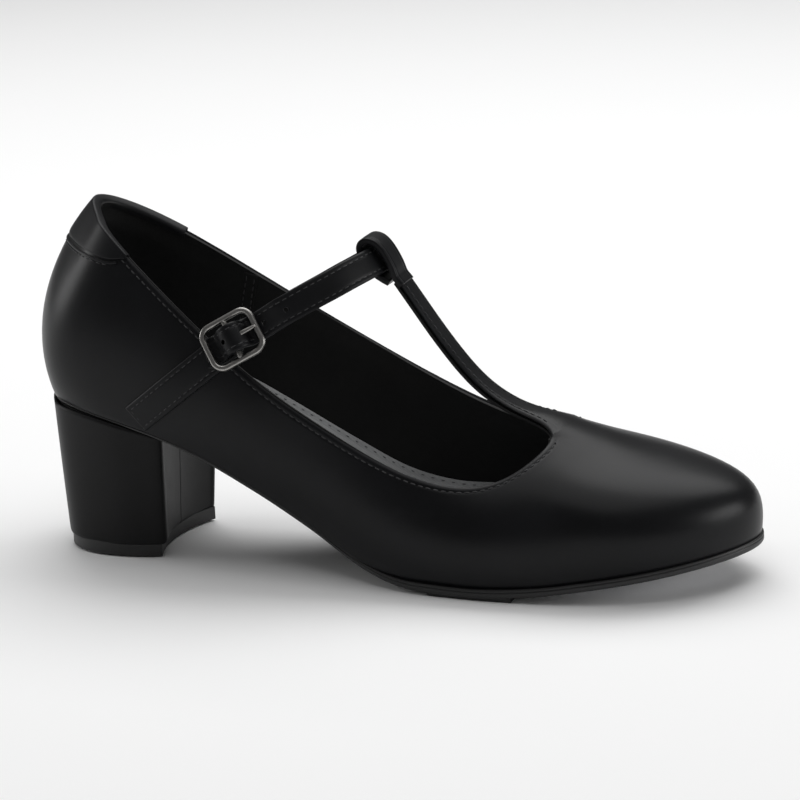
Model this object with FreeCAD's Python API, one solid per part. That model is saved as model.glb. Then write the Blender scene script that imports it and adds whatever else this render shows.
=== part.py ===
import FreeCAD, Part
import math
import os

# A low-cut women's tap shoe for the right foot, with a T-strap, a buckled
# ankle strap and a stacked 50 mm block heel. All sizes are in millimetres.
# +X runs from the heel to the toe, +Z is up, the outer side of the foot is -Y.
# The origin is on the ground under the middle of the heel.

Vec = FreeCAD.Vector

# ---------------------------------------------------------------- main sizes
LENGTH = 241.0          # back of the heel seat to the toe tip, along the sole joint
BALL_WIDTH = 74.0       # width of the sole joint across the ball of the foot
HEEL_RISE = 49.2        # height of the heel seat above the ball
BACK_HEIGHT = 63.5      # height of the collar above the heel seat
LEATHER = 1.5           # upper leather
STIFFENER = 0.8         # heel counter, toe puff and collar foam
LINING = 0.9            # lining leather
PLY_GAP = 0.15          # clearance between plies of the upper
STRAP_WIDTH = 9.2       # ankle strap
STRAP_THICK = 2.0
TBAR_HALF = 5.0         # half width of the T-strap
SOLE_FORE = 3.1         # outsole thickness under the forepart
SOLE_WAIST = 2.2
SOLE_SEAT = 1.5
TAP_THICK = 1.8         # metal tap plates
LIFT_THICK = 4.4        # rubber top lift under the heel
BUCKLE_LENGTH = 17.0    # along the strap
BUCKLE_WIDTH = STRAP_WIDTH + 5.8
BUCKLE_THICK = 2.0
BUCKLE_BAR = 2.3        # width of the frame bars

# ------------------------------------------------- the last, as base stations
# Distances are from the back of the heel seat on a 241 mm long last; place()
# turns them into the real size.
BASE_LENGTH = 241.0
BASE_BALL = 74.0
BASE_RISE = 49.2
BASE_BACK = 63.5
BASE_BUCKLE = 17.0
HEEL_MID = 26.0
BALL_JOINT = 4.1        # height of the sole joint at the ball

# (distance, share of the heel rise) and (distance, rise of the toe spring)
RISE_SHARE = [(-8, 1.045), (0, 1.0), (15, 0.965), (30, 0.91), (46, 0.82), (62, 0.69), (80, 0.505),
              (98, 0.30), (115, 0.108), (130, 0.016), (145, 0.0), (160, 0.0), (178, 0.0), (192, 0.0),
              (222, 0.0), (246, 0.0)]
TOE_SPRING = [(-8, 0.0), (98, 0.0), (130, 0.0), (145, 0.0), (160, 0.0), (178, 1.6), (192, 3.7),
              (222, 8.2), (246, 11.2)]

# sole joint (the feather line) seen from above, from the back centre round
# the outer side to the toe, then the same stations on the inner side
FEATHER_X = [3.0, 8.5, 30.0, 62.0, 98.0, 130.0, 160.0, 192.0, 222.0, 239.5]
FEATHER_OUT = [0.0, -16.0, -24.8, -26.0, -28.0, -34.0, -37.0, -35.0, -23.5, 3.0]
FEATHER_IN = [0.0, 16.0, 24.8, 22.5, 21.5, 28.5, 36.5, 37.0, 26.0, 3.0]
# top line of the upper at the same stations; the last few run under the T-strap
TOP_OUT = [(19.3, 0, 115.8), (25.4, -11.5, 112.5), (36.9, -21.5, 105), (73.8, -28.5, 73.4),
           (104, -31.5, 53.2), (132, -33, 39.6), (156, -31, 35.2), (171, -24.5, 41),
           (178.0, -12.5, 47.4), (179.2, 0, 49.2)]
TOP_IN = [(19.3, 0, 115.8), (23.5, 11.5, 113.1), (42.8, 20.5, 101.6), (74, 25.5, 82.1),
          (104, 28, 64.5), (132, 28, 50.6), (156, 26.5, 42.5), (171, 22, 43.3),
          (178.0, 12.5, 47.2), (179.2, 0, 49.2)]
# how far each rib swells between the joint and the top line:
# three pairs of (outwards, upwards) at a quarter, a half and three quarters
SWELL = [(10.2, 0, 13.2, 0, 10.6, 0.8), (9.2, 0, 11.2, 0, 7.5, 0.2), (5, 0, 6.5, 0, 4, 0), (4, 0, 5, 0, 3, 0),
         (3.5, 0, 4.5, 0, 2, 0), (5, 0, 5.5, 1, 3, 1), (6, 1, 7, 3, 4, 2), (9, 2, 10, 5, 6, 2),
         (15, 3.6, 17.3, 7.9, 6.7, -1.1),
         (16.8, 6.8, 29.8, 4.5, 18.4, -3.7)]

# T-strap: outer face from the vamp up to the loop seam (distance, height, half width)
TBAR = [(179.2, 49.2, 12.5), (177.5, 49.8, 10.4), (175.5, 50.6, 8.6), (171.5, 51.5, 6.6),
        (166, 52.5, 5.6), (160, 54.6, 5.2), (153.5, 58.6, 5.0), (148, 63.6, 5.0), (142, 70.8, 5.0),
        (136, 78.9, 5.0), (130.2, 87.4, 5.0), (125.6, 94.0, 5.0)]
# loop at its top, round the strap: (along the T-strap, away from the strap)
LOOP_OUTSIDE = [(-8.0, 3.7), (-5.0, 4.5), (-1.5, 5.0), (2.0, 5.1), (5.2, 4.4), (7.6, 2.5), (8.3, 0.0),
                (7.2, -2.4), (4.5, -3.7), (0.5, -4.1), (-3.5, -3.6), (-6.5, -2.4), (-8.6, -1.2)]
LOOP_INSIDE = [(-8.3, 1.4), (-5.2, 2.2), (-1.6, 2.7), (1.8, 2.8), (4.3, 2.3), (5.7, 1.2), (6.1, -0.1),
               (5.4, -1.2), (3.6, -1.8), (0.4, -1.9), (-3.0, -1.5), (-5.7, -0.5), (-8.0, 0.7)]
LOOP_CENTRE = (117.4, 99.8)
LOOP_SLOPE = 124.7      # direction of the T-strap at the loop, degrees from +X in side view

# ankle strap centre line: (distance, across, height, outward tilt in degrees)
STRAP_OUT = [(118.0, 0, 99.8, 34), (117.4, -5.7, 99.8, 33), (115.7, -11.3, 99.2, 31),
             (112.9, -16.5, 98.0, 28), (109.1, -21.2, 96.1, 25), (104.4, -25.3, 93.8, 22),
             (99.0, -28.8, 91.0, 19), (93.0, -31.4, 87.8, 16)]
STRAP_IN = [(118.0, 0, 99.8, 34), (117.4, 5.7, 99.4, 33), (115.7, 11.3, 98.2, 31),
            (112.9, 16.5, 96.5, 27), (109.1, 21.2, 94.3, 23), (104.4, 25.3, 91.5, 19),
            (99.0, 28.6, 88.3, 15), (93.0, 31.0, 84.9, 12), (86.6, 31.9, 81.2, 10)]
HINGE_STEP = 1          # station of STRAP_OUT where the loose end folds away
ANKLE_X = 80.0          # the strap runs round an oval of this centre and these half axes
ANKLE_REACH = 38.0
ANKLE_HALF = 33.0
BUCKLE_AT = (80.0, -35.6, 80.7)
TAB_FROM = (42.0, 50.6)
TAB_TO = (72.5, 74.0)
TAB_WIDTH = STRAP_WIDTH + 0.8
TAB_THICK = 1.6

# heel outlines seen from above: outer corner, round the back, inner corner
HEEL_FOOT = [(43.5, -18.5), (30, -20.9), (14.2, -17.4), (7.4, -9.6), (5.6, 1.0), (7.4, 11), (14.2, 18.9),
             (30, 22.9), (46.0, 21.5)]
HEEL_TOP = [(46.5, -24.0), (30, -24.6), (11.5, -19), (4.4, -9), (2.6, 0), (4.4, 9), (11.5, 19),
            (30, 24.4), (49.5, 22.5)]
BREAST_DEPTH = 4.2      # hollow of the heel breast
HEEL_SKIN = 0.8

ALONG = LENGTH / BASE_LENGTH
ACROSS = BALL_WIDTH / BASE_BALL
UPRIGHT = BACK_HEIGHT / BASE_BACK
SHELL = LEATHER + STIFFENER + LINING + 2 * PLY_GAP


# ---------------------------------------------------------------- small maths
def solve_tridiagonal_cyclic(values):
    """Slopes of the periodic cubic through evenly spaced values."""
    n = len(values)
    slopes = [0.0] * n
    for _ in range(60):
        for i in range(n):
            rise = 3.0 * (values[(i + 1) % n] - values[i - 1])
            slopes[i] = (rise - slopes[i - 1] - slopes[(i + 1) % n]) / 4.0
    return slopes


class Ring:
    """Smooth closed curve through points at whole-number stations."""

    def __init__(self, points):
        self.points = points
        axes = [[p[k] for p in points] for k in range(3)]
        self.slopes = [solve_tridiagonal_cyclic(a) for a in axes]

    def at(self, u):
        n = len(self.points)
        i = int(math.floor(u))
        t = u - i
        a = self.points[i % n]
        b = self.points[(i + 1) % n]
        out = []
        for k in range(3):
            m = self.slopes[k][i % n]
            w = self.slopes[k][(i + 1) % n]
            h00 = 2 * t ** 3 - 3 * t ** 2 + 1
            h10 = t ** 3 - 2 * t ** 2 + t
            h01 = 3 * t ** 2 - 2 * t ** 3
            h11 = t ** 3 - t ** 2
            out.append(h00 * a[k] + h10 * m + h01 * b[k] + h11 * w)
        return Vec(*out)


def smooth_table(table, x):
    """Value at x of the smooth curve through (x, value) pairs."""
    last = len(table) - 1
    i = 0
    while i < last - 1 and x > table[i + 1][0]:
        i += 1
    grads = []
    for j in (i, i + 1):
        lo = max(j - 1, 0)
        hi = min(j + 1, last)
        grads.append((table[hi][1] - table[lo][1]) / (table[hi][0] - table[lo][0]))
    span = table[i + 1][0] - table[i][0]
    t = (x - table[i][0]) / span
    h00 = 2 * t ** 3 - 3 * t ** 2 + 1
    h10 = t ** 3 - 2 * t ** 2 + t
    h01 = 3 * t ** 2 - 2 * t ** 3
    h11 = t ** 3 - t ** 2
    ends = h00 * table[i][1] + h01 * table[i + 1][1]
    return ends + span * (h10 * grads[0] + h11 * grads[1])


def smooth_path(points, steps):
    """Evenly numbered points along the smooth open curve through the given ones."""
    last = len(points) - 1
    out = []
    for s in range(steps + 1):
        u = last * s / steps
        out.append([smooth_table([(j, p[k]) for j, p in enumerate(points)], u)
                    for k in range(len(points[0]))])
    return out


# ------------------------------------------------------------- the last shape
def joint_height(x, rise=HEEL_RISE):
    """Height of the sole joint at a base distance from the back of the heel."""
    return BALL_JOINT + rise * smooth_table(RISE_SHARE, x) + smooth_table(TOE_SPRING, x)


def place(x, y, z):
    """Real position of a base station above the sole joint."""
    above = z - joint_height(x, BASE_RISE)
    return Vec((x - HEEL_MID) * ALONG, y * ACROSS, joint_height(x) + above * UPRIGHT)


def base_x(x):
    """Base distance of a real X position."""
    return x / ALONG + HEEL_MID


def rib_rings():
    """Five closed rings of poles from the sole joint up to the top line."""
    last = len(FEATHER_X) - 1
    order = [(j, FEATHER_OUT, TOP_OUT) for j in range(last + 1)]
    order += [(j, FEATHER_IN, TOP_IN) for j in range(last - 1, 0, -1)]
    foot = []
    top = []
    for j, feather, topline in order:
        x = FEATHER_X[j]
        foot.append(place(x, feather[j], joint_height(x, BASE_RISE)))
        top.append(place(*topline[j]))
    plan = Ring(foot)
    count = len(order)
    rings = [foot]
    for k in range(3):
        ring = []
        for i, (j, _, _) in enumerate(order):
            along = plan.at(i + 0.01) - plan.at(i - 0.01)
            away = Vec(along.y, -along.x, 0).normalize()
            share = (k + 1) / 4.0
            pole = foot[i] * (1 - share) + top[i] * share
            ring.append(pole + away * (SWELL[j][2 * k] * ACROSS) + Vec(0, 0, SWELL[j][2 * k + 1]))
        rings.append(ring)
    rings.append(top)
    return count, [Ring(r) for r in rings]


STATIONS, RINGS = rib_rings()
TOE = 9                 # station at the toe tip; station 0 is the back centre


def shell_point(u, r):
    """Point on the outer face of the upper: u round the shoe, r from joint to top line."""
    q = 1.0 - r
    foot = RINGS[0].at(u)
    foot.z = joint_height(base_x(foot.x))
    weights = (q ** 4, 4 * r * q ** 3, 6 * r * r * q * q, 4 * r ** 3 * q, r ** 4)
    total = foot * weights[0]
    for weight, ring in zip(weights[1:], RINGS[1:]):
        total = total + ring.at(u) * weight
    return total


def shell_normal(u, r):
    """Outward direction of the outer face."""
    d = 0.01
    low = max(r - d, 0.0)
    high = min(r + d, 1.0)
    du = shell_point(u + d, r) - shell_point(u - d, r)
    dr = shell_point(u, high) - shell_point(u, low)
    return du.cross(dr).normalize()


def shell_at(u, r, out):
    """Point at a distance outside (or, negative, inside) the outer face."""
    return shell_point(u, r) + shell_normal(u, r) * out


def side_station(x, z, u, r):
    """Station (u, r) on the outer face that has the given X and Z."""
    for _ in range(14):
        here = shell_point(u, r)
        d = 0.005
        du = (shell_point(u + d, r) - here) * (1 / d)
        dr = (shell_point(u, r + d) - here) * (1 / d)
        det = du.x * dr.z - dr.x * du.z
        ex = x - here.x
        ez = z - here.z
        u += (ex * dr.z - dr.x * ez) / det
        r += (du.x * ez - du.z * ex) / det
        r = min(max(r, 0.0), 1.0)
    return u, r


# -------------------------------------------------------------- solid helpers
def closed_solid(faces):
    """One solid from faces that meet edge to edge."""
    shell = Part.makeShell(faces)
    shell.sewShape()
    solid = Part.Solid(shell)
    if solid.Volume < 0:
        solid.reverse()
    return solid


def sheet_face(grid):
    surface = Part.BSplineSurface()
    surface.interpolate(grid)
    return surface


def grid_solid(front, back):
    """Solid between two point grids of the same shape."""
    a = sheet_face(front)
    b = sheet_face(back)
    faces = [a.toShape(), b.toShape()]
    u0, u1, v0, v1 = a.bounds()
    p0, p1, q0, q1 = b.bounds()
    pairs = [(a.uIso(u0), b.uIso(p0)), (a.uIso(u1), b.uIso(p1)),
             (a.vIso(v0), b.vIso(q0)), (a.vIso(v1), b.vIso(q1))]
    for one, two in pairs:
        faces.append(Part.makeRuledSurface(one.toShape(), two.toShape()))
    return closed_solid(faces)


def spread(low, high, count):
    return [low + (high - low) * i / (count - 1.0) for i in range(count)]


def ply(u_from, u_to, r_low, r_high, outside, thick, rows=13, per_station=6):
    """A ply of the upper between two stations; r_low and r_high are functions of u."""
    count = max(int((u_to - u_from) * per_station) + 1, 5)
    fronts = []
    backs = []
    for u in spread(u_from, u_to, count):
        rs = spread(r_low(u), r_high(u), rows)
        fronts.append([shell_at(u, r, outside) for r in rs])
        backs.append([shell_at(u, r, outside - thick) for r in rs])
    return grid_solid(fronts, backs)


def loop_edge(points):
    curve = Part.BSplineCurve()
    curve.interpolate(points, PeriodicFlag=True)
    return curve.toShape()


def open_edge(points):
    curve = Part.BSplineCurve()
    curve.interpolate(points)
    return curve.toShape()


def joint_outline(inset, start=None):
    """Closed plan outline that stays a distance inside the sole joint.

    inset is a number, or a function of the base distance from the heel.
    """
    points = []
    for i in range(STATIONS * 3):
        u = i / 3.0
        here = RINGS[0].at(u)
        along = RINGS[0].at(u + 0.01) - RINGS[0].at(u - 0.01)
        away = Vec(along.y, -along.x, 0).normalize()
        step = inset(base_x(here.x)) if callable(inset) else inset
        points.append(Vec(here.x, here.y, 0) - away * step)
    return Part.Face(Part.Wire(loop_edge(points)))


def slab(under, over, x_from=-12.0, x_to=252.0, half=60.0):
    """Layer that follows the sole joint between two height functions."""
    xs = spread(x_from, x_to, 45)
    low = [Vec((x - HEEL_MID) * ALONG, -half, under(x)) for x in xs]
    high = [Vec((x - HEEL_MID) * ALONG, -half, over(x)) for x in xs]
    sides = [open_edge(low), Part.makeLine(low[-1], high[-1]), open_edge(high[::-1]),
             Part.makeLine(high[0], low[0])]
    return Part.Face(Part.Wire(sides)).extrude(Vec(0, 2 * half, 0))


def plate(outline, under, over):
    """Plan outline cut from a layer that follows the sole joint."""
    prism = outline.copy()
    prism.translate(Vec(0, 0, -20))
    return prism.extrude(Vec(0, 0, 120)).common(slab(under, over))


def above(gap):
    return lambda x: joint_height(x) + gap


def sole_thick(x):
    table = [(-12, SOLE_SEAT), (20, SOLE_SEAT), (50, SOLE_SEAT), (75, SOLE_WAIST), (110, SOLE_WAIST),
             (140, SOLE_FORE), (190, SOLE_FORE), (252, SOLE_FORE)]
    return smooth_table(table, x)


def sole_under(x):
    return joint_height(x) - 0.1 - sole_thick(x)


def box_between(x0, x1, half, z0, z1):
    """Box from one base distance to another, for cutting."""
    low = (x0 - HEEL_MID) * ALONG
    high = (x1 - HEEL_MID) * ALONG
    return Part.makeBox(high - low, 2 * half, z1 - z0, Vec(low, -half, z0))


def one_solid(shape):
    """The largest solid of a shape."""
    solids = sorted(shape.Solids, key=lambda s: s.Volume)
    return solids[-1]


# ----------------------------------------------------------------- the pieces
PIECES = {}


def keep(name, shape):
    PIECES[name] = one_solid(shape)


def full(u):
    return 1.0


def foot_edge(u):
    return 0.0


def build_upper():
    """Outer leather, linings and stiffeners."""
    seam = 0.02
    depth_stiff = -LEATHER - PLY_GAP
    depth_lining = depth_stiff - STIFFENER - PLY_GAP
    around = STATIONS
    keep("vamp", ply(5.03, around - 5.03, foot_edge, full, 0.0, LEATHER))
    keep("quarter_outer", ply(seam, 4.97, foot_edge, full, 0.0, LEATHER))
    keep("quarter_inner", ply(around - 4.97, around - seam, foot_edge, full, 0.0, LEATHER))
    keep("vamp_lining", ply(5.03, around - 5.03, foot_edge, full, depth_lining, LINING))
    keep("quarter_lining", ply(-4.97, 4.97, foot_edge, full, depth_lining, LINING))
    keep("heel_counter", ply(-2.7, 2.7, lambda u: 0.03, lambda u: 0.62 - 0.03 * u * u,
                             depth_stiff, STIFFENER))
    keep("collar_foam", ply(-1.7, 1.7, lambda u: 0.72 + 0.05 * u * u, lambda u: 0.965,
                            depth_stiff, STIFFENER, 9))
    keep("toe_puff", ply(TOE - 1.7, TOE + 1.7, lambda u: 0.03,
                         lambda u: 0.66 - 0.12 * (u - TOE) ** 2, depth_stiff, STIFFENER))
    keep("collar_patch", ply(-2.0, 2.0, lambda u: 0.985 - 0.2 * (1 - (u / 2.05) ** 4),
                             lambda u: 0.998, 1.2, 1.0, 9))


def build_soles():
    """Insole stack, shank, filler and outsole."""
    inner = SHELL + 0.25
    margin = 13.0
    lasting = joint_outline(inner)
    inside = joint_outline(margin)
    keep("lasting_margin", plate(lasting, above(0.05), above(1.35))
         .cut(plate(inside, above(-3), above(5))))
    shank = box_between(22, 128, 6.0, -10, 90).common(slab(above(0.1), above(1.3)))
    keep("shank", shank)
    filler = plate(joint_outline(margin + 0.4), above(0.05), above(1.35))
    keep("bottom_filler", filler.common(box_between(129, 238, 60, -10, 90)))
    keep("insole_board", plate(lasting, above(1.45), above(3.4)))
    keep("insole_foam", plate(joint_outline(inner + 0.8), above(3.5), above(5.9)))
    keep("sock_lining", plate(joint_outline(inner + 0.2), above(6.0), above(7.2)))

    def edge(x):
        return -smooth_table([(-12, -0.6), (40, -0.9), (70, -1.6), (105, -1.2), (130, 0.8), (160, 1.1),
                              (200, 0.8), (252, 0.5)], x)
    keep("outsole", plate(joint_outline(edge), sole_under, above(-0.1)))


def build_ball_pad_and_tap():
    """Grip pad under the ball, toe tap and its screws."""
    def under_pad(x):
        return 0.0

    def over_pad(x):
        return sole_under(x) - 0.05

    def pad_edge(x):
        return 0.0
    pad = plate(joint_outline(pad_edge), under_pad, over_pad)
    keep("ball_pad", pad.common(box_between(141, 169, 60, -10, 90)))

    def tap_over(x):
        return sole_under(x) - 0.05

    def tap_under(x):
        return sole_under(x) - 0.05 - TAP_THICK
    tap = plate(joint_outline(7.5), tap_under, tap_over)
    behind = box_between(60, 173, 60, -10, 90)
    tap = tap.cut(behind)
    spots = [(182, -20), (182, 21), (222, 2)]
    for n, (x, y) in enumerate(spots):
        at = place(x, y, 0)
        level = sole_under(x) - TAP_THICK
        tap = tap.cut(Part.makeCylinder(1.75, 12, Vec(at.x, at.y, level - 5)))
        head = Part.makeCylinder(3.0, 0.9, Vec(at.x, at.y, level - 1.1))
        shaft = Part.makeCylinder(1.5, TAP_THICK + 3.1, Vec(at.x, at.y, level - 0.3))
        keep("toe_tap_screw_%d" % (n + 1), head.fuse(shaft))
        drill = Part.makeCylinder(1.6, TAP_THICK + 4.7, Vec(at.x, at.y, level - 1.5))
        PIECES["outsole"] = one_solid(PIECES["outsole"].cut(drill))
        bore = Part.makeCylinder(3.2, 3.0, Vec(at.x, at.y, level - 3.0 + 0.1))
        tap = tap.cut(bore)
    keep("toe_tap", tap)


def heel_outline(points, height, grow=0.0):
    """Closed wire of the heel at a height: U-shaped side and hollow breast."""
    placed = [Vec((x - HEEL_MID) * ALONG, y * ACROSS, height) for x, y in points]
    centre = Vec(0, (placed[0].y + placed[-1].y) / 2, height)
    scaled = [centre + (p - centre) * (1 + grow / 21.0) for p in placed]
    mid = (scaled[0] + scaled[-1]) * 0.5 - Vec(BREAST_DEPTH, 0, 0)
    breast = Part.Arc(scaled[-1], mid, scaled[0]).toShape()
    return Part.Wire([open_edge(scaled), breast])


def heel_loft(low, high, grow):
    middle = [((a[0] * 0.55 + b[0] * 0.45), (a[1] * 0.55 + b[1] * 0.45)) for a, b in zip(HEEL_FOOT, HEEL_TOP)]
    wires = [heel_outline(HEEL_FOOT, low, grow), heel_outline(middle, (low + high) * 0.42, grow),
             heel_outline(HEEL_TOP, high, grow)]
    return Part.makeLoft(wires, True)


def build_heel():
    """Heel block, its leather skin, the top lift, the heel tap and fixings."""
    foot = 0.6 + LIFT_THICK
    top = HEEL_RISE + 8.0
    seat = slab(sole_under, lambda x: joint_height(x) + 60)
    shallow = slab(lambda x: sole_under(x) - 0.05, lambda x: joint_height(x) + 60)
    skin = heel_loft(foot + 0.05, top, 0.0).cut(shallow)
    core = heel_loft(foot + 0.05, top, -HEEL_SKIN).cut(seat)
    core_room = heel_loft(foot - 1.0, top, -HEEL_SKIN + 0.05)
    block = heel_loft(foot + 0.05, top, -HEEL_SKIN - 0.05).cut(shallow)
    keep("heel_cover", skin.cut(core_room))
    lift = Part.Face(heel_outline(HEEL_FOOT, 0.6)).extrude(Vec(0, 0, LIFT_THICK))
    tap_face = Part.Face(heel_outline(HEEL_FOOT, 0.0, -3.6))
    tap = tap_face.extrude(Vec(0, 0, TAP_THICK))
    room = Part.Face(heel_outline(HEEL_FOOT, -1.0, -3.4)).extrude(Vec(0, 0, 1.0 + TAP_THICK + 0.1))
    lift = lift.cut(room)
    for n, (x, y) in enumerate([(13, 1), (36, -12), (37, 14)]):
        at = Vec((x - HEEL_MID) * ALONG, y * ACROSS, 0)
        head = Part.makeCone(3.0, 1.5, 1.3, at + Vec(0, 0, 0.05))
        shaft = Part.makeCylinder(1.5, 11, at + Vec(0, 0, 1.2))
        screw = head.fuse(shaft)
        hole = Part.makeCylinder(1.6, 13.5, at + Vec(0, 0, 0.0))
        sink = Part.makeCone(3.25, 1.6, 1.5, at + Vec(0, 0, -0.05))
        tap = tap.cut(hole).cut(sink)
        lift = lift.cut(hole)
        block = block.cut(hole)
        keep("heel_tap_screw_%d" % (n + 1), screw)
    keep("top_lift", lift)
    keep("heel_tap", tap)
    fixings = [("heel_screw", 26, 0, 2.2)]
    fixings += [("heel_nail_%d" % (n + 1), x, y, 1.0)
                for n, (x, y) in enumerate([(14, -9), (14, 9), (38, -13), (38, 13)])]
    for name, x, y, radius in fixings:
        at = Vec((x - HEEL_MID) * ALONG, y * ACROSS, joint_height(x))
        drill = Part.makeCylinder(radius + 0.1, 80, at + Vec(0, 0, -25))
        for node in ("insole_board", "lasting_margin", "shank", "outsole"):
            PIECES[node] = one_solid(PIECES[node].cut(drill))
        block = block.cut(drill)
        shaft = Part.makeCylinder(radius, 24 + 2.5, at + Vec(0, 0, -24))
        keep(name, shaft)
    keep("heel_block", block)


def build_t_strap():
    """T-strap with its lining and the loop at its top."""
    rows = smooth_path(TBAR, 44)
    columns = 9
    outer = []
    for n, (x, z, half) in enumerate(rows):
        ahead = rows[min(n + 1, len(rows) - 1)]
        behind = rows[max(n - 1, 0)]
        along = Vec(ahead[0] - behind[0], 0, ahead[1] - behind[1]).normalize()
        normal = Vec(-along.z, 0, along.x) * -1.0
        crown = max(0.0, 1.0 - n / 16.0)
        line = []
        for c in spread(-1.0, 1.0, columns):
            base = place(x, half * c / ACROSS, z - 2.0 * crown * c * c)
            throat = RINGS[4].at(TOE + c) - Vec(0.3, 0, 0)
            blend = max(0.0, 1.0 - n / 8.0) ** 2
            line.append((base * (1 - blend) + throat * blend, normal))
        outer.append(line)
    strap_thick = LEATHER - 0.1

    def layer(depth):
        return [[p - n * depth for p, n in line] for line in outer]
    keep("t_strap", grid_solid(layer(0.0), layer(strap_thick)))
    keep("t_strap_lining", grid_solid(layer(strap_thick + 0.1), layer(strap_thick + 0.1 + LINING)))

    angle = math.radians(LOOP_SLOPE)
    along = Vec(math.cos(angle), 0, math.sin(angle))
    off = Vec(math.sin(angle), 0, -math.cos(angle))
    centre = place(LOOP_CENTRE[0], 0, LOOP_CENTRE[1])
    shift = Vec(0, -TBAR_HALF, 0)
    out = [centre + along * a + off * b + shift for a, b in LOOP_OUTSIDE]
    back = [centre + along * a + off * b + shift for a, b in LOOP_INSIDE]
    wire = Part.Wire([open_edge(out), Part.makeLine(out[-1], back[-1]), open_edge(back[::-1]),
                      Part.makeLine(back[0], out[0])])
    loop = Part.Face(wire).extrude(Vec(0, 2 * TBAR_HALF, 0))
    keep("t_strap_loop", loop.cut(PIECES["t_strap"]).cut(PIECES["t_strap_lining"]))


def strap_frames(table, steps):
    """Centre points along a strap path, with directions away from the ankle."""
    frames = []
    for x, y, z, lean in smooth_path(table, steps):
        flat = Vec((x - ANKLE_X) / ANKLE_REACH, y / ANKLE_HALF, 0).normalize()
        tilt = math.radians(lean)
        out = flat * math.cos(tilt) + Vec(0, 0, math.sin(tilt))
        frames.append((place(x, y, z), Vec(1, 0, 0), out))
    return frames


def strap_solid(frames, width, thick):
    """Flat strap along frames of (point, along, outward)."""
    fronts = []
    backs = []
    for p, along, out in frames:
        side = along.cross(out).normalize()
        cross = spread(-width / 2, width / 2, 4)
        fronts.append([p + side * c + out * (thick / 2) for c in cross])
        backs.append([p + side * c - out * (thick / 2) for c in cross])
    return grid_solid(fronts, backs)


def buckle_frame_axes():
    """Centre, along, across and outward directions of the buckle."""
    centre = place(*BUCKLE_AT)
    last = place(*STRAP_OUT[-1][:3])
    along = (last - centre).normalize()
    out = Vec(-0.06, -0.95, 0.27)
    out = (out - along * out.dot(along)).normalize()
    across = out.cross(along).normalize()
    return centre, along, across, out


BILLET = [(9.5, -2.1), (7.6, -2.15), (6.3, -2.15), (5.2, -1.85), (4.3, -0.7), (3.3, 1.1), (2.1, 2.6),
          (0.6, 3.0), (-1.0, 2.85), (-2.6, 1.5), (-3.8, -0.5), (-4.8, -1.8), (-5.8, -2.15),
          (-7.0, -2.2), (-8.4, -2.2)]
CHAPE = [(-8.6, -4.1), (-6.6, -4.0), (-4.6, -3.7), (-2.6, -3.1), (-1.0, -2.4), (0.4, -1.7)]


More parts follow.
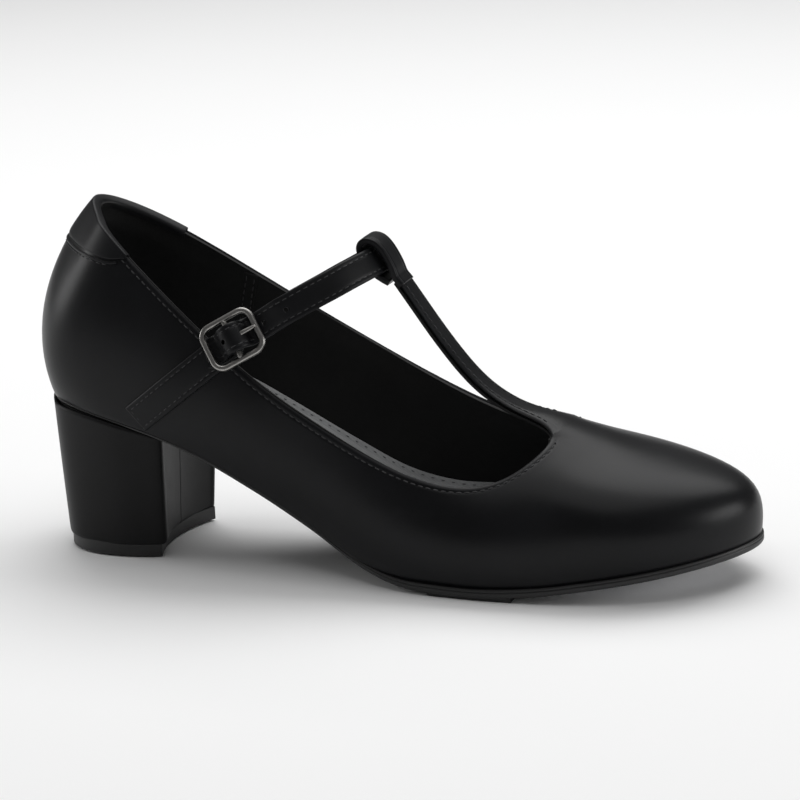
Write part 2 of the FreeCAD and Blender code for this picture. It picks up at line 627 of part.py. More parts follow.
def build_straps():
    """Ankle strap in its two parts, the tab that holds the buckle, and the buckle."""
    centre, along, across, out = buckle_frame_axes()

    def local(a, w, n):
        return centre + along * a + across * w + out * n

    thick = STRAP_THICK - 0.4
    reach = BUCKLE_LENGTH / BASE_BUCKLE
    per_station = 6
    outside = strap_frames(STRAP_OUT, per_station * (len(STRAP_OUT) - 1))
    hinge = HINGE_STEP * per_station
    billet = [(local(a * reach, 0, h), along, out) for a, h in smooth_path(BILLET, 48)]
    end = strap_solid(retangent(outside[hinge:-2] + billet), STRAP_WIDTH, thick)
    slot = Part.makeBox(4.4, 2.2, 12, Vec(1.7, -1.1, -6))
    matrix = FreeCAD.Matrix(along.x, across.x, out.x, centre.x, along.y, across.y, out.y, centre.y,
                            along.z, across.z, out.z, centre.z, 0, 0, 0, 1)
    keep("ankle_strap_end", end.cut(slot.transformGeometry(matrix)))

    fixed = side_strip(1, (44.0, 48.5), (75.0, 74.8), 16, 0.3 + thick / 2)
    inside = strap_frames(STRAP_IN, per_station * (len(STRAP_IN) - 1))
    fixed += inside[::-1] + outside[1:hinge]
    keep("ankle_strap_inner", strap_solid(retangent(fixed), STRAP_WIDTH, thick))

    tab = side_strip(-1, TAB_FROM, TAB_TO, 18, 0.3 + TAB_THICK / 2)
    for a, h in smooth_path(CHAPE, 10):
        tab.append((local(a * reach, 0, h), along, out))
    strip = strap_solid(retangent(tab), TAB_WIDTH, TAB_THICK)
    sleeve = Part.makeCylinder(2.0, STRAP_WIDTH, Vec(0, -STRAP_WIDTH / 2, 0), Vec(0, 1, 0))
    bore = Part.makeCylinder(1.15, STRAP_WIDTH + 3, Vec(0, -STRAP_WIDTH / 2 - 1.5, 0), Vec(0, 1, 0))
    sleeve = sleeve.cut(bore)
    gap = Part.makeBox(6, 2.6, 6, Vec(-2.4, -1.3, -2.6))
    strip = strip.fuse(sleeve.transformGeometry(matrix)).cut(gap.transformGeometry(matrix))
    keep("buckle_tab", strip.cut(bore.transformGeometry(matrix)))

    half_l = BUCKLE_LENGTH / 2
    half_w = BUCKLE_WIDTH / 2
    outer = rounded(half_l, half_w, 4.6)
    hole = rounded(half_l - BUCKLE_BAR, half_w - BUCKLE_BAR, 2.6)
    frame = Part.Face(outer).extrude(Vec(0, 0, BUCKLE_THICK))
    frame = frame.cut(Part.Face(hole).extrude(Vec(0, 0, BUCKLE_THICK)))
    frame.translate(Vec(0, 0, -BUCKLE_THICK / 2))
    bar = Part.makeCylinder(0.9, BUCKLE_WIDTH - 1.0, Vec(0, -half_w + 0.5, 0), Vec(0, 1, 0))
    keep("buckle_frame", frame.fuse(bar).transformGeometry(matrix))

    tip = half_l + 0.2
    side = [(0.4, -1.4), (2.2, 0.2), (5.0, 1.15), (tip, 1.15), (tip, 2.3), (4.6, 2.5), (1.4, 1.6)]
    points = [Vec(x, -0.8, z) for x, z in side]
    shaft = Part.Face(Part.makePolygon(points + points[:1])).extrude(Vec(0, 1.6, 0))
    ring = Part.makeCylinder(1.75, 1.6, Vec(0, -0.8, 0), Vec(0, 1, 0))
    bore = Part.makeCylinder(1.05, 4, Vec(0, -2, 0), Vec(0, 1, 0))
    keep("buckle_prong", shaft.fuse(ring).cut(bore).transformGeometry(matrix))


def rounded(half_x, half_y, radius):
    """Rounded rectangle wire in the XY plane."""
    x = half_x - radius
    y = half_y - radius
    k = radius * math.sqrt(0.5)
    corners = [(x, y, 1, 1), (-x, y, -1, 1), (-x, -y, -1, -1), (x, -y, 1, -1)]
    edges = []
    ends = []
    for cx, cy, sx, sy in corners:
        first = Vec(cx + (radius if sx * sy > 0 else 0) * sx, cy + (0 if sx * sy > 0 else radius) * sy, 0)
        last = Vec(cx + (0 if sx * sy > 0 else radius) * sx, cy + (radius if sx * sy > 0 else 0) * sy, 0)
        mid = Vec(cx + k * sx, cy + k * sy, 0)
        ends.append((first, last))
        edges.append(Part.Arc(first, mid, last).toShape())
    for i in range(4):
        edges.append(Part.makeLine(ends[i][1], ends[(i + 1) % 4][0]))
    return Part.Wire(Part.__sortEdges__(edges))


def side_strip(side, start, end, steps, lift):
    """Frames of a strip that lies on the side of the upper; side is -1 outer, 1 inner."""
    frames = []
    u = 2.6 if side < 0 else STATIONS - 2.6
    r = 0.3
    for s in spread(0.0, 1.0, steps):
        x = start[0] + (end[0] - start[0]) * s
        z = start[1] + (end[1] - start[1]) * s
        goal = place(x, 0, z)
        u, r = side_station(goal.x, goal.z, u, r)
        out = shell_normal(u, r)
        frames.append((shell_point(u, r) + out * lift, Vec(1, 0, 0), out))
    return retangent(frames)


def retangent(frames):
    """Same frames with their directions taken from the neighbouring points."""
    out = []
    for n, (p, _, normal) in enumerate(frames):
        ahead = frames[min(n + 1, len(frames) - 1)][0]
        behind = frames[max(n - 1, 0)][0]
        along = (ahead - behind).normalize()
        square = (normal - along * normal.dot(along)).normalize()
        out.append((p, along, square))
    return out


def main():
    build_upper()
    build_soles()
    build_ball_pad_and_tap()
    build_heel()
    build_t_strap()
    build_straps()
    os.makedirs("parts", exist_ok=True)
    for name, shape in PIECES.items():
        print(name, round(shape.Volume, 1), shape.isValid(), len(shape.Solids))
        shape.exportStep("parts/%s.step" % name)


main()
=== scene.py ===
import logging
import math
from dataclasses import dataclass
from enum import Enum
from typing import Callable, Sequence

import bmesh
import bpy
import numpy as np
from mathutils import Matrix, Vector
from mathutils.bvhtree import BVHTree
from mathutils.kdtree import KDTree


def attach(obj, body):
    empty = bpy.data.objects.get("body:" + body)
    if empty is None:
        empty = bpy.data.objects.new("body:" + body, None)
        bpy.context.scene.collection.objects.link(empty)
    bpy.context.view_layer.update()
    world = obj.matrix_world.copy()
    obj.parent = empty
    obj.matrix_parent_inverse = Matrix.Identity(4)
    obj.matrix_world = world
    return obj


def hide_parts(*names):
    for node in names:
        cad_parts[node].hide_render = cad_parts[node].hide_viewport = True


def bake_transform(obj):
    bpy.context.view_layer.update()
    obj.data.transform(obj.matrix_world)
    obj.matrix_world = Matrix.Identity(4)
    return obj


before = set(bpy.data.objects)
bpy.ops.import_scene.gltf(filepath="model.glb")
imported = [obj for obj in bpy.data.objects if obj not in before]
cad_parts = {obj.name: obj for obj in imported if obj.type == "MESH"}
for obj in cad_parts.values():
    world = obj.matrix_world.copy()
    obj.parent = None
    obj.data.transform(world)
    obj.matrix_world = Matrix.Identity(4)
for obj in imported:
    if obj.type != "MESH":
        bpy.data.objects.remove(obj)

LOG = logging.getLogger("tap_shoe")
MM = 0.001
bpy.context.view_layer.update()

# --------------------------------------------------------------------------- the last
# Distances run forward in millimetres from the back of the heel seat, heights up from the floor, and
# the outer side has negative Y. The rows of RISE_SHARE and TOE_SPRING are (distance, value), those of
# TOP_OUT, TOP_IN and TBAR are places on the shoe, and SWELL has (swell, lift) of three rings per rib.
HEEL_MID = 26.0
BALL_JOINT = 4.1
HEEL_RISE = 49.2
RISE_SHARE = [(-8, 1.045), (0, 1.0), (15, 0.965), (30, 0.91), (46, 0.82), (62, 0.69), (80, 0.505),
              (98, 0.30), (115, 0.108), (130, 0.016), (145, 0.0), (160, 0.0), (178, 0.0), (192, 0.0),
              (222, 0.0), (246, 0.0)]
TOE_SPRING = [(-8, 0.0), (98, 0.0), (130, 0.0), (145, 0.0), (160, 0.0), (178, 1.6), (192, 3.7),
              (222, 8.2), (246, 11.2)]
FEATHER_X = [3.0, 8.5, 30.0, 62.0, 98.0, 130.0, 160.0, 192.0, 222.0, 239.5]
FEATHER_OUT = [0.0, -16.0, -24.8, -26.0, -28.0, -34.0, -37.0, -35.0, -23.5, 3.0]
FEATHER_IN = [0.0, 16.0, 24.8, 22.5, 21.5, 28.5, 36.5, 37.0, 26.0, 3.0]
TOP_OUT = [(19.3, 0, 115.8), (25.4, -11.5, 112.5), (36.9, -21.5, 105), (73.8, -28.5, 73.4),
           (104, -31.5, 53.2), (132, -33, 39.6), (156, -31, 35.2), (171, -24.5, 41),
           (178.0, -12.5, 47.4), (179.2, 0, 49.2)]
TOP_IN = [(19.3, 0, 115.8), (23.5, 11.5, 113.1), (42.8, 20.5, 101.6), (74, 25.5, 82.1),
          (104, 28, 64.5), (132, 28, 50.6), (156, 26.5, 42.5), (171, 22, 43.3),
          (178.0, 12.5, 47.2), (179.2, 0, 49.2)]
SWELL = [(10.2, 0, 13.2, 0, 10.6, 0.8), (9.2, 0, 11.2, 0, 7.5, 0.2), (5, 0, 6.5, 0, 4, 0),
         (4, 0, 5, 0, 3, 0), (3.5, 0, 4.5, 0, 2, 0), (5, 0, 5.5, 1, 3, 1), (6, 1, 7, 3, 4, 2),
         (9, 2, 10, 5, 6, 2), (15, 3.6, 17.3, 7.9, 6.7, -1.1), (16.8, 6.8, 29.8, 4.5, 18.4, -3.7)]
TBAR = [(179.2, 49.2, 12.5), (177.5, 49.8, 10.4), (175.5, 50.6, 8.6), (171.5, 51.5, 6.6),
        (166, 52.5, 5.6), (160, 54.6, 5.2), (153.5, 58.6, 5.0), (148, 63.6, 5.0), (142, 70.8, 5.0),
        (136, 78.9, 5.0), (130.2, 87.4, 5.0), (125.6, 94.0, 5.0)]
# The loop's two faces, along the T-strap and out of it, from its sewn end round to the other.
LOOP_OUTSIDE = [(-11.4, 3.8), (-9.6, 3.72), (-8.0, 3.7), (-5.0, 4.5), (-1.5, 5.0), (2.0, 5.1),
                (5.2, 4.4), (7.6, 2.5), (8.3, 0.0), (7.2, -2.4), (4.5, -3.7), (0.5, -4.1),
                (-3.5, -3.6), (-6.5, -2.4), (-8.6, -1.2)]
LOOP_INSIDE = [(-11.4, 1.8), (-9.7, 1.65), (-8.3, 1.4), (-5.2, 2.2), (-1.6, 2.7), (1.8, 2.8),
               (4.3, 2.3), (5.7, 1.2), (6.1, -0.1), (5.4, -1.2), (3.6, -1.8), (0.4, -1.9),
               (-3.0, -1.5), (-5.7, -0.5), (-8.0, 0.7)]
LOOP_CENTRE = (117.4, 99.8)
LOOP_SLOPE = 124.7
# Centre line of the ankle strap from the loop down each side, with its lean in degrees.
STRAP_OUT = [(118.0, 0, 99.8, 34), (117.4, -5.7, 99.8, 33), (115.7, -11.3, 99.2, 31),
             (112.9, -16.5, 98.0, 28), (109.1, -21.2, 96.1, 25), (104.4, -25.3, 93.8, 22),
             (99.0, -28.8, 91.0, 19), (93.0, -31.4, 87.8, 16)]
STRAP_IN = [(118.0, 0, 99.8, 34), (117.4, 5.7, 99.4, 33), (115.7, 11.3, 98.2, 31),
            (112.9, 16.5, 96.5, 27), (109.1, 21.2, 94.3, 23), (104.4, 25.3, 91.5, 19),
            (99.0, 28.6, 88.3, 15), (93.0, 31.0, 84.9, 12), (86.6, 31.9, 81.2, 10)]
ANKLE_X = 80.0
ANKLE_REACH = 38.0
ANKLE_HALF = 33.0
BUCKLE_AT = (80.0, -35.6, 80.7)
BUCKLE_FACE = (-0.06, -0.95, 0.27)
# Where the strips sewn to the sides start and end, and the station near which they start.
TAB_FROM, TAB_TO = (42.0, 50.6), (72.5, 74.0)
ANCHOR_FROM, ANCHOR_TO = (44.0, 48.5), (75.0, 74.8)
STRIP_STATION, STRIP_SHARE = 2.6, 0.3
# Straps at the buckle and the prong's tongue, as distances along and out of it from its bar.
BILLET = [(9.5, -2.1), (7.6, -2.15), (6.3, -2.15), (5.2, -1.85), (4.3, -0.7), (3.3, 1.1), (2.1, 2.6),
          (0.6, 3.0), (-1.0, 2.85), (-2.6, 1.5), (-3.8, -0.5), (-4.8, -1.8), (-5.8, -2.15),
          (-7.0, -2.2), (-8.4, -2.2)]
CHAPE = [(-8.6, -4.1), (-6.6, -4.0), (-4.6, -3.7), (-2.6, -3.1), (-1.0, -2.4), (0.4, -1.7)]
TONGUE = [(1.0, 1.38), (2.6, 1.75), (4.6, 1.85), (6.2, 1.72), (7.4, 1.62), (8.9, 1.55)]
# Plan of the heel's back and sides at its foot and its top, from the outer breast corner.
HEEL_FOOT = [(43.5, -18.5), (30, -20.9), (14.2, -17.4), (7.4, -9.6), (5.6, 1.0), (7.4, 11), (14.2, 18.9),
             (30, 22.9), (46.0, 21.5)]
HEEL_TOP = [(46.5, -24.0), (30, -24.6), (11.5, -19), (4.4, -9), (2.6, 0), (4.4, 9), (11.5, 19),
            (30, 24.4), (49.5, 22.5)]
BREAST_DEPTH = 4.2
STATIONS = 18
TOE = 9
RIB_SHARES = np.linspace(1, 0, 181)
TAPE_STATION = 15.3


def hermite(t: np.ndarray, first: np.ndarray, leaving: np.ndarray, last: np.ndarray,
            arriving: np.ndarray) -> np.ndarray:
    """Cubic between two values with given slopes, at shares of the way."""
    return ((2 * t**3 - 3 * t**2 + 1) * first + (t**3 - 2 * t**2 + t) * leaving
            + (3 * t**2 - 2 * t**3) * last + (t**3 - t**2) * arriving)


def smooth(table: Sequence[Sequence[float]], x: np.ndarray | float, column: int = 1) -> np.ndarray:
    """Reads a table of (x, value, ...) rows along a smooth curve.

    Args:
        table: rows in order of x.
        x: where to read it.
        column: which value to read.

    Returns:
        The value at each x.
    """
    rows = np.array(table, float)
    xs, ys = rows[:, 0], rows[:, column]
    x = np.asarray(x, float)
    last = len(xs) - 1
    i = np.clip(np.searchsorted(xs, x, side="left") - 1, 0, last - 1)
    lo, hi = np.maximum(np.arange(last + 1) - 1, 0), np.minimum(np.arange(last + 1) + 1, last)
    grads = (ys[hi] - ys[lo]) / (xs[hi] - xs[lo])
    span = xs[i + 1] - xs[i]
    return hermite((x - xs[i]) / span, ys[i], span * grads[i], ys[i + 1], span * grads[i + 1])


def smooth_path(points: Sequence[Sequence[float]], steps: int) -> np.ndarray:
    """Points at even steps of station number along the smooth curve through the given ones."""
    p = np.array(points, float)
    u = np.linspace(0, len(p) - 1, steps + 1)
    rows = np.column_stack([np.arange(len(p)), p])
    return np.stack([smooth(rows, u, k + 1) for k in range(p.shape[1])], 1)


def even_path(points: np.ndarray, spacing: float) -> np.ndarray:
    """Resamples a path of points (any number of columns, the first three a place) evenly."""
    step = np.linalg.norm(np.diff(points[:, :3], axis=0), axis=1)
    reach = np.concatenate([[0], np.cumsum(step)])
    count = max(int(reach[-1] / spacing), 2)
    at = np.linspace(0, reach[-1], count + 1)
    return np.stack([np.interp(at, reach, points[:, k]) for k in range(points.shape[1])], 1)


def joint_height(x: np.ndarray | float) -> np.ndarray:
    """Height of the sole joint at a distance from the back of the heel."""
    return BALL_JOINT + HEEL_RISE * smooth(RISE_SHARE, x) + smooth(TOE_SPRING, x)


def eased(t: np.ndarray) -> np.ndarray:
    """Shares clipped to 0..1 that leave both ends gently."""
    t = np.clip(t, 0, 1)
    return t**2 * (3 - 2 * t)


def unit(v: np.ndarray) -> np.ndarray:
    """Vectors scaled to length one."""
    return v / np.maximum(np.linalg.norm(v, axis=-1, keepdims=True), 1e-12)


class Last:
    """The shape of the shoe's outer face, as ribs from the sole joint to the top line.

    All its points are in millimetres, with X from the middle of the heel.
    """

    def __init__(self) -> None:
        """Sets up the five closed rings of the ribs' control points."""
        order = [(j, FEATHER_OUT, TOP_OUT) for j in range(TOE + 1)]
        order += [(j, FEATHER_IN, TOP_IN) for j in range(TOE - 1, 0, -1)]
        foot = np.array([(FEATHER_X[j] - HEEL_MID, f[j], joint_height(FEATHER_X[j])) for j, f, _ in order])
        top = np.array([t[j] for j, _, t in order], float) - (HEEL_MID, 0, 0)
        away = self._away(foot, self._slopes(foot), np.arange(STATIONS, dtype=float))
        rings = [foot]
        for k in range(3):
            share = (k + 1) / 4
            swell = np.array([SWELL[j][2 * k] for j, _, _ in order])[:, None]
            lift = np.array([SWELL[j][2 * k + 1] for j, _, _ in order])[:, None]
            rings.append(foot * (1 - share) + top * share + away * swell + lift * np.array([0, 0, 1.0]))
        rings.append(top)
        self._rings = [(r, self._slopes(r)) for r in rings]

    @staticmethod
    def _slopes(values: np.ndarray) -> np.ndarray:
        """Slopes of the closed cubic through evenly spaced points."""
        n = len(values)
        grid = np.eye(n) * 4 + np.roll(np.eye(n), 1, axis=1) + np.roll(np.eye(n), -1, axis=1)
        return np.linalg.solve(grid, 3 * (np.roll(values, -1, axis=0) - np.roll(values, 1, axis=0)))

    @staticmethod
    def _ring(values: np.ndarray, slopes: np.ndarray, u: np.ndarray) -> np.ndarray:
        """Points of a closed ring at station numbers."""
        base = np.floor(u)
        i = base.astype(int) % len(values)
        j = (i + 1) % len(values)
        return hermite((u - base)[..., None], values[i], slopes[i], values[j], slopes[j])

    def _away(self, values: np.ndarray, slopes: np.ndarray, u: np.ndarray) -> np.ndarray:
        """Horizontal directions out of the shoe at station numbers of a ring."""
        along = self._ring(values, slopes, u + 0.01) - self._ring(values, slopes, u - 0.01)
        return unit(np.stack([along[..., 1], -along[..., 0], np.zeros_like(along[..., 0])], -1))

    def point(self, u: np.ndarray, r: np.ndarray) -> np.ndarray:
        """Points on the outer face.

        Args:
            u: station numbers round the shoe, 0 at the back and 9 at the toe.
            r: shares of the way up from the sole joint to the top line.

        Returns:
            An array of points with the broadcast shape of u and r.
        """
        u, r = np.broadcast_arrays(np.asarray(u, float), np.asarray(r, float))
        q = 1 - r
        weights = (q**4, 4 * r * q**3, 6 * r**2 * q**2, 4 * r**3 * q, r**4)
        foot = self._ring(*self._rings[0], u)
        foot[..., 2] = joint_height(foot[..., 0] + HEEL_MID)
        total = foot * weights[0][..., None]
        for weight, ring in zip(weights[1:], self._rings[1:]):
            total = total + self._ring(*ring, u) * weight[..., None]
        return total

    def normal(self, u: np.ndarray, r: np.ndarray) -> np.ndarray:
        """Outward directions of the outer face."""
        d = 0.01
        low, high = np.maximum(np.asarray(r) - d, 0), np.minimum(np.asarray(r) + d, 1)
        du = self.point(np.asarray(u) + d, r) - self.point(np.asarray(u) - d, r)
        return unit(np.cross(du, self.point(u, high) - self.point(u, low)))

    def joint(self, u: np.ndarray, inset: np.ndarray | float) -> np.ndarray:
        """Plan outline a distance inside the sole joint, at the joint's height."""
        u = np.asarray(u, float)
        foot = self._ring(*self._rings[0], u)
        inset = np.broadcast_to(inset, u.shape)
        out = foot - self._away(*self._rings[0], u) * inset[..., None]
        out[..., 2] = joint_height(out[..., 0] + HEEL_MID)
        return out

    def on_side(self, x: float, z: float, u: float, r: float) -> tuple[float, float]:
        """Finds the station (u, r) of the outer face that has a given X and Z."""
        for _ in range(16):
            d = 0.005
            here, up, out = self.point(np.array([u, u + d, u]), np.array([r, r, r + d]))
            du, dr = (up - here) / d, (out - here) / d
            det = du[0] * dr[2] - dr[0] * du[2]
            ex, ez = x - here[0], z - here[2]
            u += (ex * dr[2] - dr[0] * ez) / det
            r = min(max(r + (du[0] * ez - du[2] * ex) / det, 0.0), 1.0)
        return u, r


LAST = Last()


# --------------------------------------------------------------------------- mesh helpers
def placed(name: str, mesh: bpy.types.Mesh) -> bpy.types.Object:
    """Adds a mesh to the scene as a smooth-shaded piece."""
    mesh.polygons.foreach_set("use_smooth", [True] * len(mesh.polygons))
    mesh.update()
    piece = bpy.data.objects.new(name, mesh)
    bpy.context.scene.collection.objects.link(piece)
    return piece


def mesh_piece(name: str, points: np.ndarray, faces: Sequence[Sequence[int]],
               closed: bool = False) -> bpy.types.Object:
    """Makes a piece from points in millimetres.

    Args:
        name: the piece's name.
        points: an (n, 3) array.
        faces: lists of point numbers.
        closed: whether it is a closed solid, whose faces are then turned outwards.

    Returns:
        The new object, linked to the scene.
    """
    mesh = bpy.data.meshes.new(name)
    mesh.from_pydata((np.asarray(points) * MM).tolist(), [], [list(f) for f in faces])
    if closed:
        work = bmesh.new()
        work.from_mesh(mesh)
        bmesh.ops.recalc_face_normals(work, faces=work.faces)
        work.to_mesh(mesh)
        work.free()
    return placed(name, mesh)


def join(name: str, parts: Sequence[bpy.types.Object]) -> bpy.types.Object:
    """Makes one piece of several meshes."""
    work = bmesh.new()
    for part in parts:
        work.from_mesh(part.data)
        bpy.data.objects.remove(part)
    mesh = bpy.data.meshes.new(name)
    work.to_mesh(mesh)
    work.free()
    return placed(name, mesh)


def grid_faces(rows: int, columns: int, around: bool = False, looped: bool = False,
               start: int = 0) -> list[list[int]]:
    """Quads of a grid of points laid out row by row.

    Args:
        rows: how many rows there are.
        columns: how many points each row has.
        around: whether the last column joins the first.
        looped: whether the last row joins the first.
        start: number of the grid's first point.

    Returns:
        Lists of four point numbers.
    """
    faces = []
    for i in range(rows if looped else rows - 1):
        here, there = start + i * columns, start + (i + 1) % rows * columns
        for j in range(columns if around else columns - 1):
            k = (j + 1) % columns
            faces.append([here + j, here + k, there + k, there + j])
    return faces


def apply_modifiers(piece: bpy.types.Object) -> None:
    """Turns the piece's modifiers into its mesh, shaded smoothly."""
    shaped = piece.evaluated_get(bpy.context.evaluated_depsgraph_get())
    mesh = bpy.data.meshes.new_from_object(shaped)
    mesh.polygons.foreach_set("use_smooth", [True] * len(mesh.polygons))
    piece.modifiers.clear()
    piece.data = mesh


def bevel_edges(piece: bpy.types.Object, width: float, angle: float = 40.0) -> None:
    """Rounds a piece's edges with a modifier, by a width in millimetres, where they turn by an angle."""
    rim = piece.modifiers.new("soft_edges", "BEVEL")
    rim.width = width * MM
    rim.segments = 2
    rim.limit_method = "ANGLE"
    rim.angle_limit = math.radians(angle)


def thicken(piece: bpy.types.Object, thick: float, rim: float = 0.0) -> None:
    """Gives a sheet mesh thickness, inwards from its face.

    Args:
        piece: the sheet.
        thick: thickness in millimetres.
        rim: rounding of its rim in millimetres, or 0.
    """
    shell = piece.modifiers.new("thickness", "SOLIDIFY")
    shell.thickness = thick * MM
    shell.offset = -1
    shell.use_quality_normals = True
    if rim:
        bevel_edges(piece, rim, 50)
    apply_modifiers(piece)


def path_axes(points: np.ndarray, outward: np.ndarray, closed: bool = False) -> tuple[np.ndarray, np.ndarray]:
    """Directions across a path and square out of it.

    Args:
        points: the path.
        outward: rough outward direction at each point.
        closed: whether the path's end joins its start.

    Returns:
        The two directions at each point.
    """
    step = np.roll(points, -1, 0) - np.roll(points, 1, 0) if closed else np.gradient(points, axis=0)
    along = unit(step)
    square = unit(outward - along * np.sum(outward * along, 1, keepdims=True))
    return np.cross(along, square), square


def ribbon(name: str, points: np.ndarray, outward: np.ndarray, profile: np.ndarray,
           widths: np.ndarray | None = None, closed: bool = False) -> bpy.types.Object:
    """Sweeps a closed cross-section along a path.

    Args:
        name: the piece's name.
        points: centre points in millimetres.
        outward: direction of the section's second axis at each point.
        profile: (m, 2) section points, across and outward.
        widths: optional scale of the across axis at each point.
        closed: whether the path's end joins its start; otherwise both ends are filled.

    Returns:
        The new object.
    """
    across, square = path_axes(points, outward, closed)
    scale = np.ones(len(points)) if widths is None else widths
    rings = (points[:, None] + across[:, None] * profile[None, :, :1] * scale[:, None, None]
             + square[:, None] * profile[None, :, 1:])
    n, m = len(points), len(profile)
    faces = grid_faces(n, m, around=True, looped=closed)
    if not closed:
        faces += [list(range(m)), list(range((n - 1) * m, n * m))]
    return mesh_piece(name, rings.reshape(-1, 3), faces, closed=True)


def band_profile(width: float, thick: float, groove: float = 1.6, depth: float = 0.12,
                 crown: float = 0.12) -> np.ndarray:
    """Cross-section of a stitched strap: rounded edges, a crowned face and two sewn grooves."""
    half, t = width / 2, thick / 2
    r = min(0.55, t * 0.85)
    top = []
    for w in np.concatenate([np.linspace(-half + r, -half + groove + 0.7, 7)[:-1],
                             np.linspace(-half + groove + 0.7, half - groove - 0.7, 7)[:-1],
                             np.linspace(half - groove - 0.7, half - r, 7)]):
        sunk = sum(math.exp(-((w - s * (half - groove)) / 0.3) ** 2) for s in (-1, 1))
        top.append((w, t + crown * (1 - (w / half) ** 2) - depth * sunk))
    corner = [(half - r + r * math.sin(a), t - r + r * math.cos(a)) for a in np.linspace(0.35, 1.45, 4)]
    down = [(half - r * 0.6 + r * 0.6 * math.sin(a), -t + r * 0.6 + r * 0.6 * math.cos(a))
            for a in np.linspace(1.7, 3.1, 3)]
    right = corner + down
    left = [(-w, h) for w, h in right[::-1]]
    bottom = [(w, -t) for w in np.linspace(half - 1.2, -half + 1.2, 7)]
    return np.array(top + right + bottom + left)


def tube_profile(radius: float, sides: int = 12) -> np.ndarray:
    """Round cross-section."""
    a = np.linspace(0, 2 * math.pi, sides, endpoint=False)
    return np.stack([radius * np.cos(a), radius * np.sin(a)], 1)


def superellipse(width: float, thick: float, power: float = 3.0, sides: int = 20) -> np.ndarray:
    """Rounded cross-section between an ellipse and a rectangle."""
    a = np.linspace(0, 2 * math.pi, sides, endpoint=False)
    c, s = np.cos(a), np.sin(a)
    return np.stack([width / 2 * np.sign(c) * np.abs(c) ** (2 / power),
                     thick / 2 * np.sign(s) * np.abs(s) ** (2 / power)], 1)


def stacked_rings(name: str, rings: Sequence[np.ndarray], low: Callable[[np.ndarray], np.ndarray],
                  high: Callable[[np.ndarray], np.ndarray], across: int) -> bpy.types.Object:
    """Closed piece from outlines that share station numbers, with its ends filled by rungs.

    Args:
        name: the piece's name.
        rings: outlines of n points each, from one end to the other.
        low: height of the first end at a distance from the heel.
        high: the same for the last end.
        across: how many steps a rung has.

    Returns:
        The new object.
    """
    n = len(rings[0])
    points = [np.concatenate(rings)]
    faces = grid_faces(len(rings), n, around=True)
    count = n * len(rings)
    for ring, base, height in ((rings[0], 0, low), (rings[-1], n * (len(rings) - 1), high)):
        rows = [[base] * (across + 1)]
        for i in range(1, n // 2):
            a, b = ring[i], ring[n - i]
            t = np.linspace(0, 1, across + 1)[1:-1, None]
            inner = a * (1 - t) + b * t
            inner[:, 2] = height(inner[:, 0] + HEEL_MID)
            points.append(inner)
            rows.append([base + i, *range(count, count + across - 1), base + n - i])
            count += across - 1
        rows.append([base + n // 2] * (across + 1))
        for one, two in zip(rows, rows[1:]):
            for j in range(across):
                corner = [one[j], one[j + 1], two[j + 1], two[j]]
                faces.append([c for k, c in enumerate(corner) if c not in corner[:k]])
    return mesh_piece(name, np.concatenate(points), faces, closed=True)


def smoothed(path: np.ndarray, passes: int) -> np.ndarray:
    """Evens out a path without moving its ends."""
    out = path.copy()
    for _ in range(passes):
        out[1:-1] = (out[:-2] + 2 * out[1:-1] + out[2:]) / 4
    return out


def surface_tree(piece: bpy.types.Object) -> BVHTree:
    """Search tree over a piece's mesh."""
    return BVHTree.FromObject(piece, bpy.context.evaluated_depsgraph_get())


def laid_on(tree: BVHTree, points: np.ndarray) -> tuple[np.ndarray, np.ndarray]:
    """Moves points in millimetres onto a surface.

    Args:
        tree: the surface.
        points: an (n, 3) array.

    Returns:
        The points on the surface and its directions there.
    """
    found = [tree.find_nearest(Vector(p * MM)) for p in points]
    return np.array([f[0] for f in found]) / MM, np.array([f[1] for f in found])


@dataclass(frozen=True)
class Thread:
    """A row of lockstitches."""

    pitch: float = 2.6
    length: float = 1.75
    radius: float = 0.2
    sink: float = 0.05

    def sew(self, name: str, paths: Sequence[tuple[np.ndarray, np.ndarray]]) -> bpy.types.Object:
        """Lays stitches along paths.

        Args:
            name: the piece's name.
            paths: pairs of points in millimetres and outward directions.

        Returns:
            One object that holds every stitch.
        """
        shape = [(-0.5, 0.3, -0.55), (-0.42, 0.8, -0.2), (-0.2, 1.0, 0.15), (0.0, 1.0, 0.3),
                 (0.2, 1.0, 0.15), (0.42, 0.8, -0.2), (0.5, 0.3, -0.55)]
        sides, step = 7, 0.25
        angle = np.linspace(0, 2 * math.pi, sides, endpoint=False)
        points: list[np.ndarray] = []
        faces: list[list[int]] = []
        count = 0
        for path, normals in paths:
            both = even_path(np.column_stack([path, normals]), step)
            skip = round(self.pitch / step)
            for k in range(skip // 2, len(both) - skip // 2, skip):
                here, up = both[k, :3], unit(both[k, 3:])
                ahead = unit(both[min(k + 2, len(both) - 1), :3] - both[max(k - 2, 0), :3])
                side = np.cross(ahead, up)
                start, count = count, count + sides * len(shape)
                for s, wide, rise in shape:
                    mid = here + ahead * (s * self.length) + up * (rise * self.radius - self.sink)
                    ring = (mid + side * (np.cos(angle) * self.radius * wide)[:, None]
                            + up * (np.sin(angle) * self.radius * wide * 0.8)[:, None])
                    points.append(ring)
                faces += grid_faces(len(shape), sides, around=True, start=start)
                faces.append(list(range(start, start + sides)))
                end = start + sides * (len(shape) - 1)
                faces.append(list(range(end, end + sides)))
        return mesh_piece(name, np.concatenate(points), faces, closed=True)


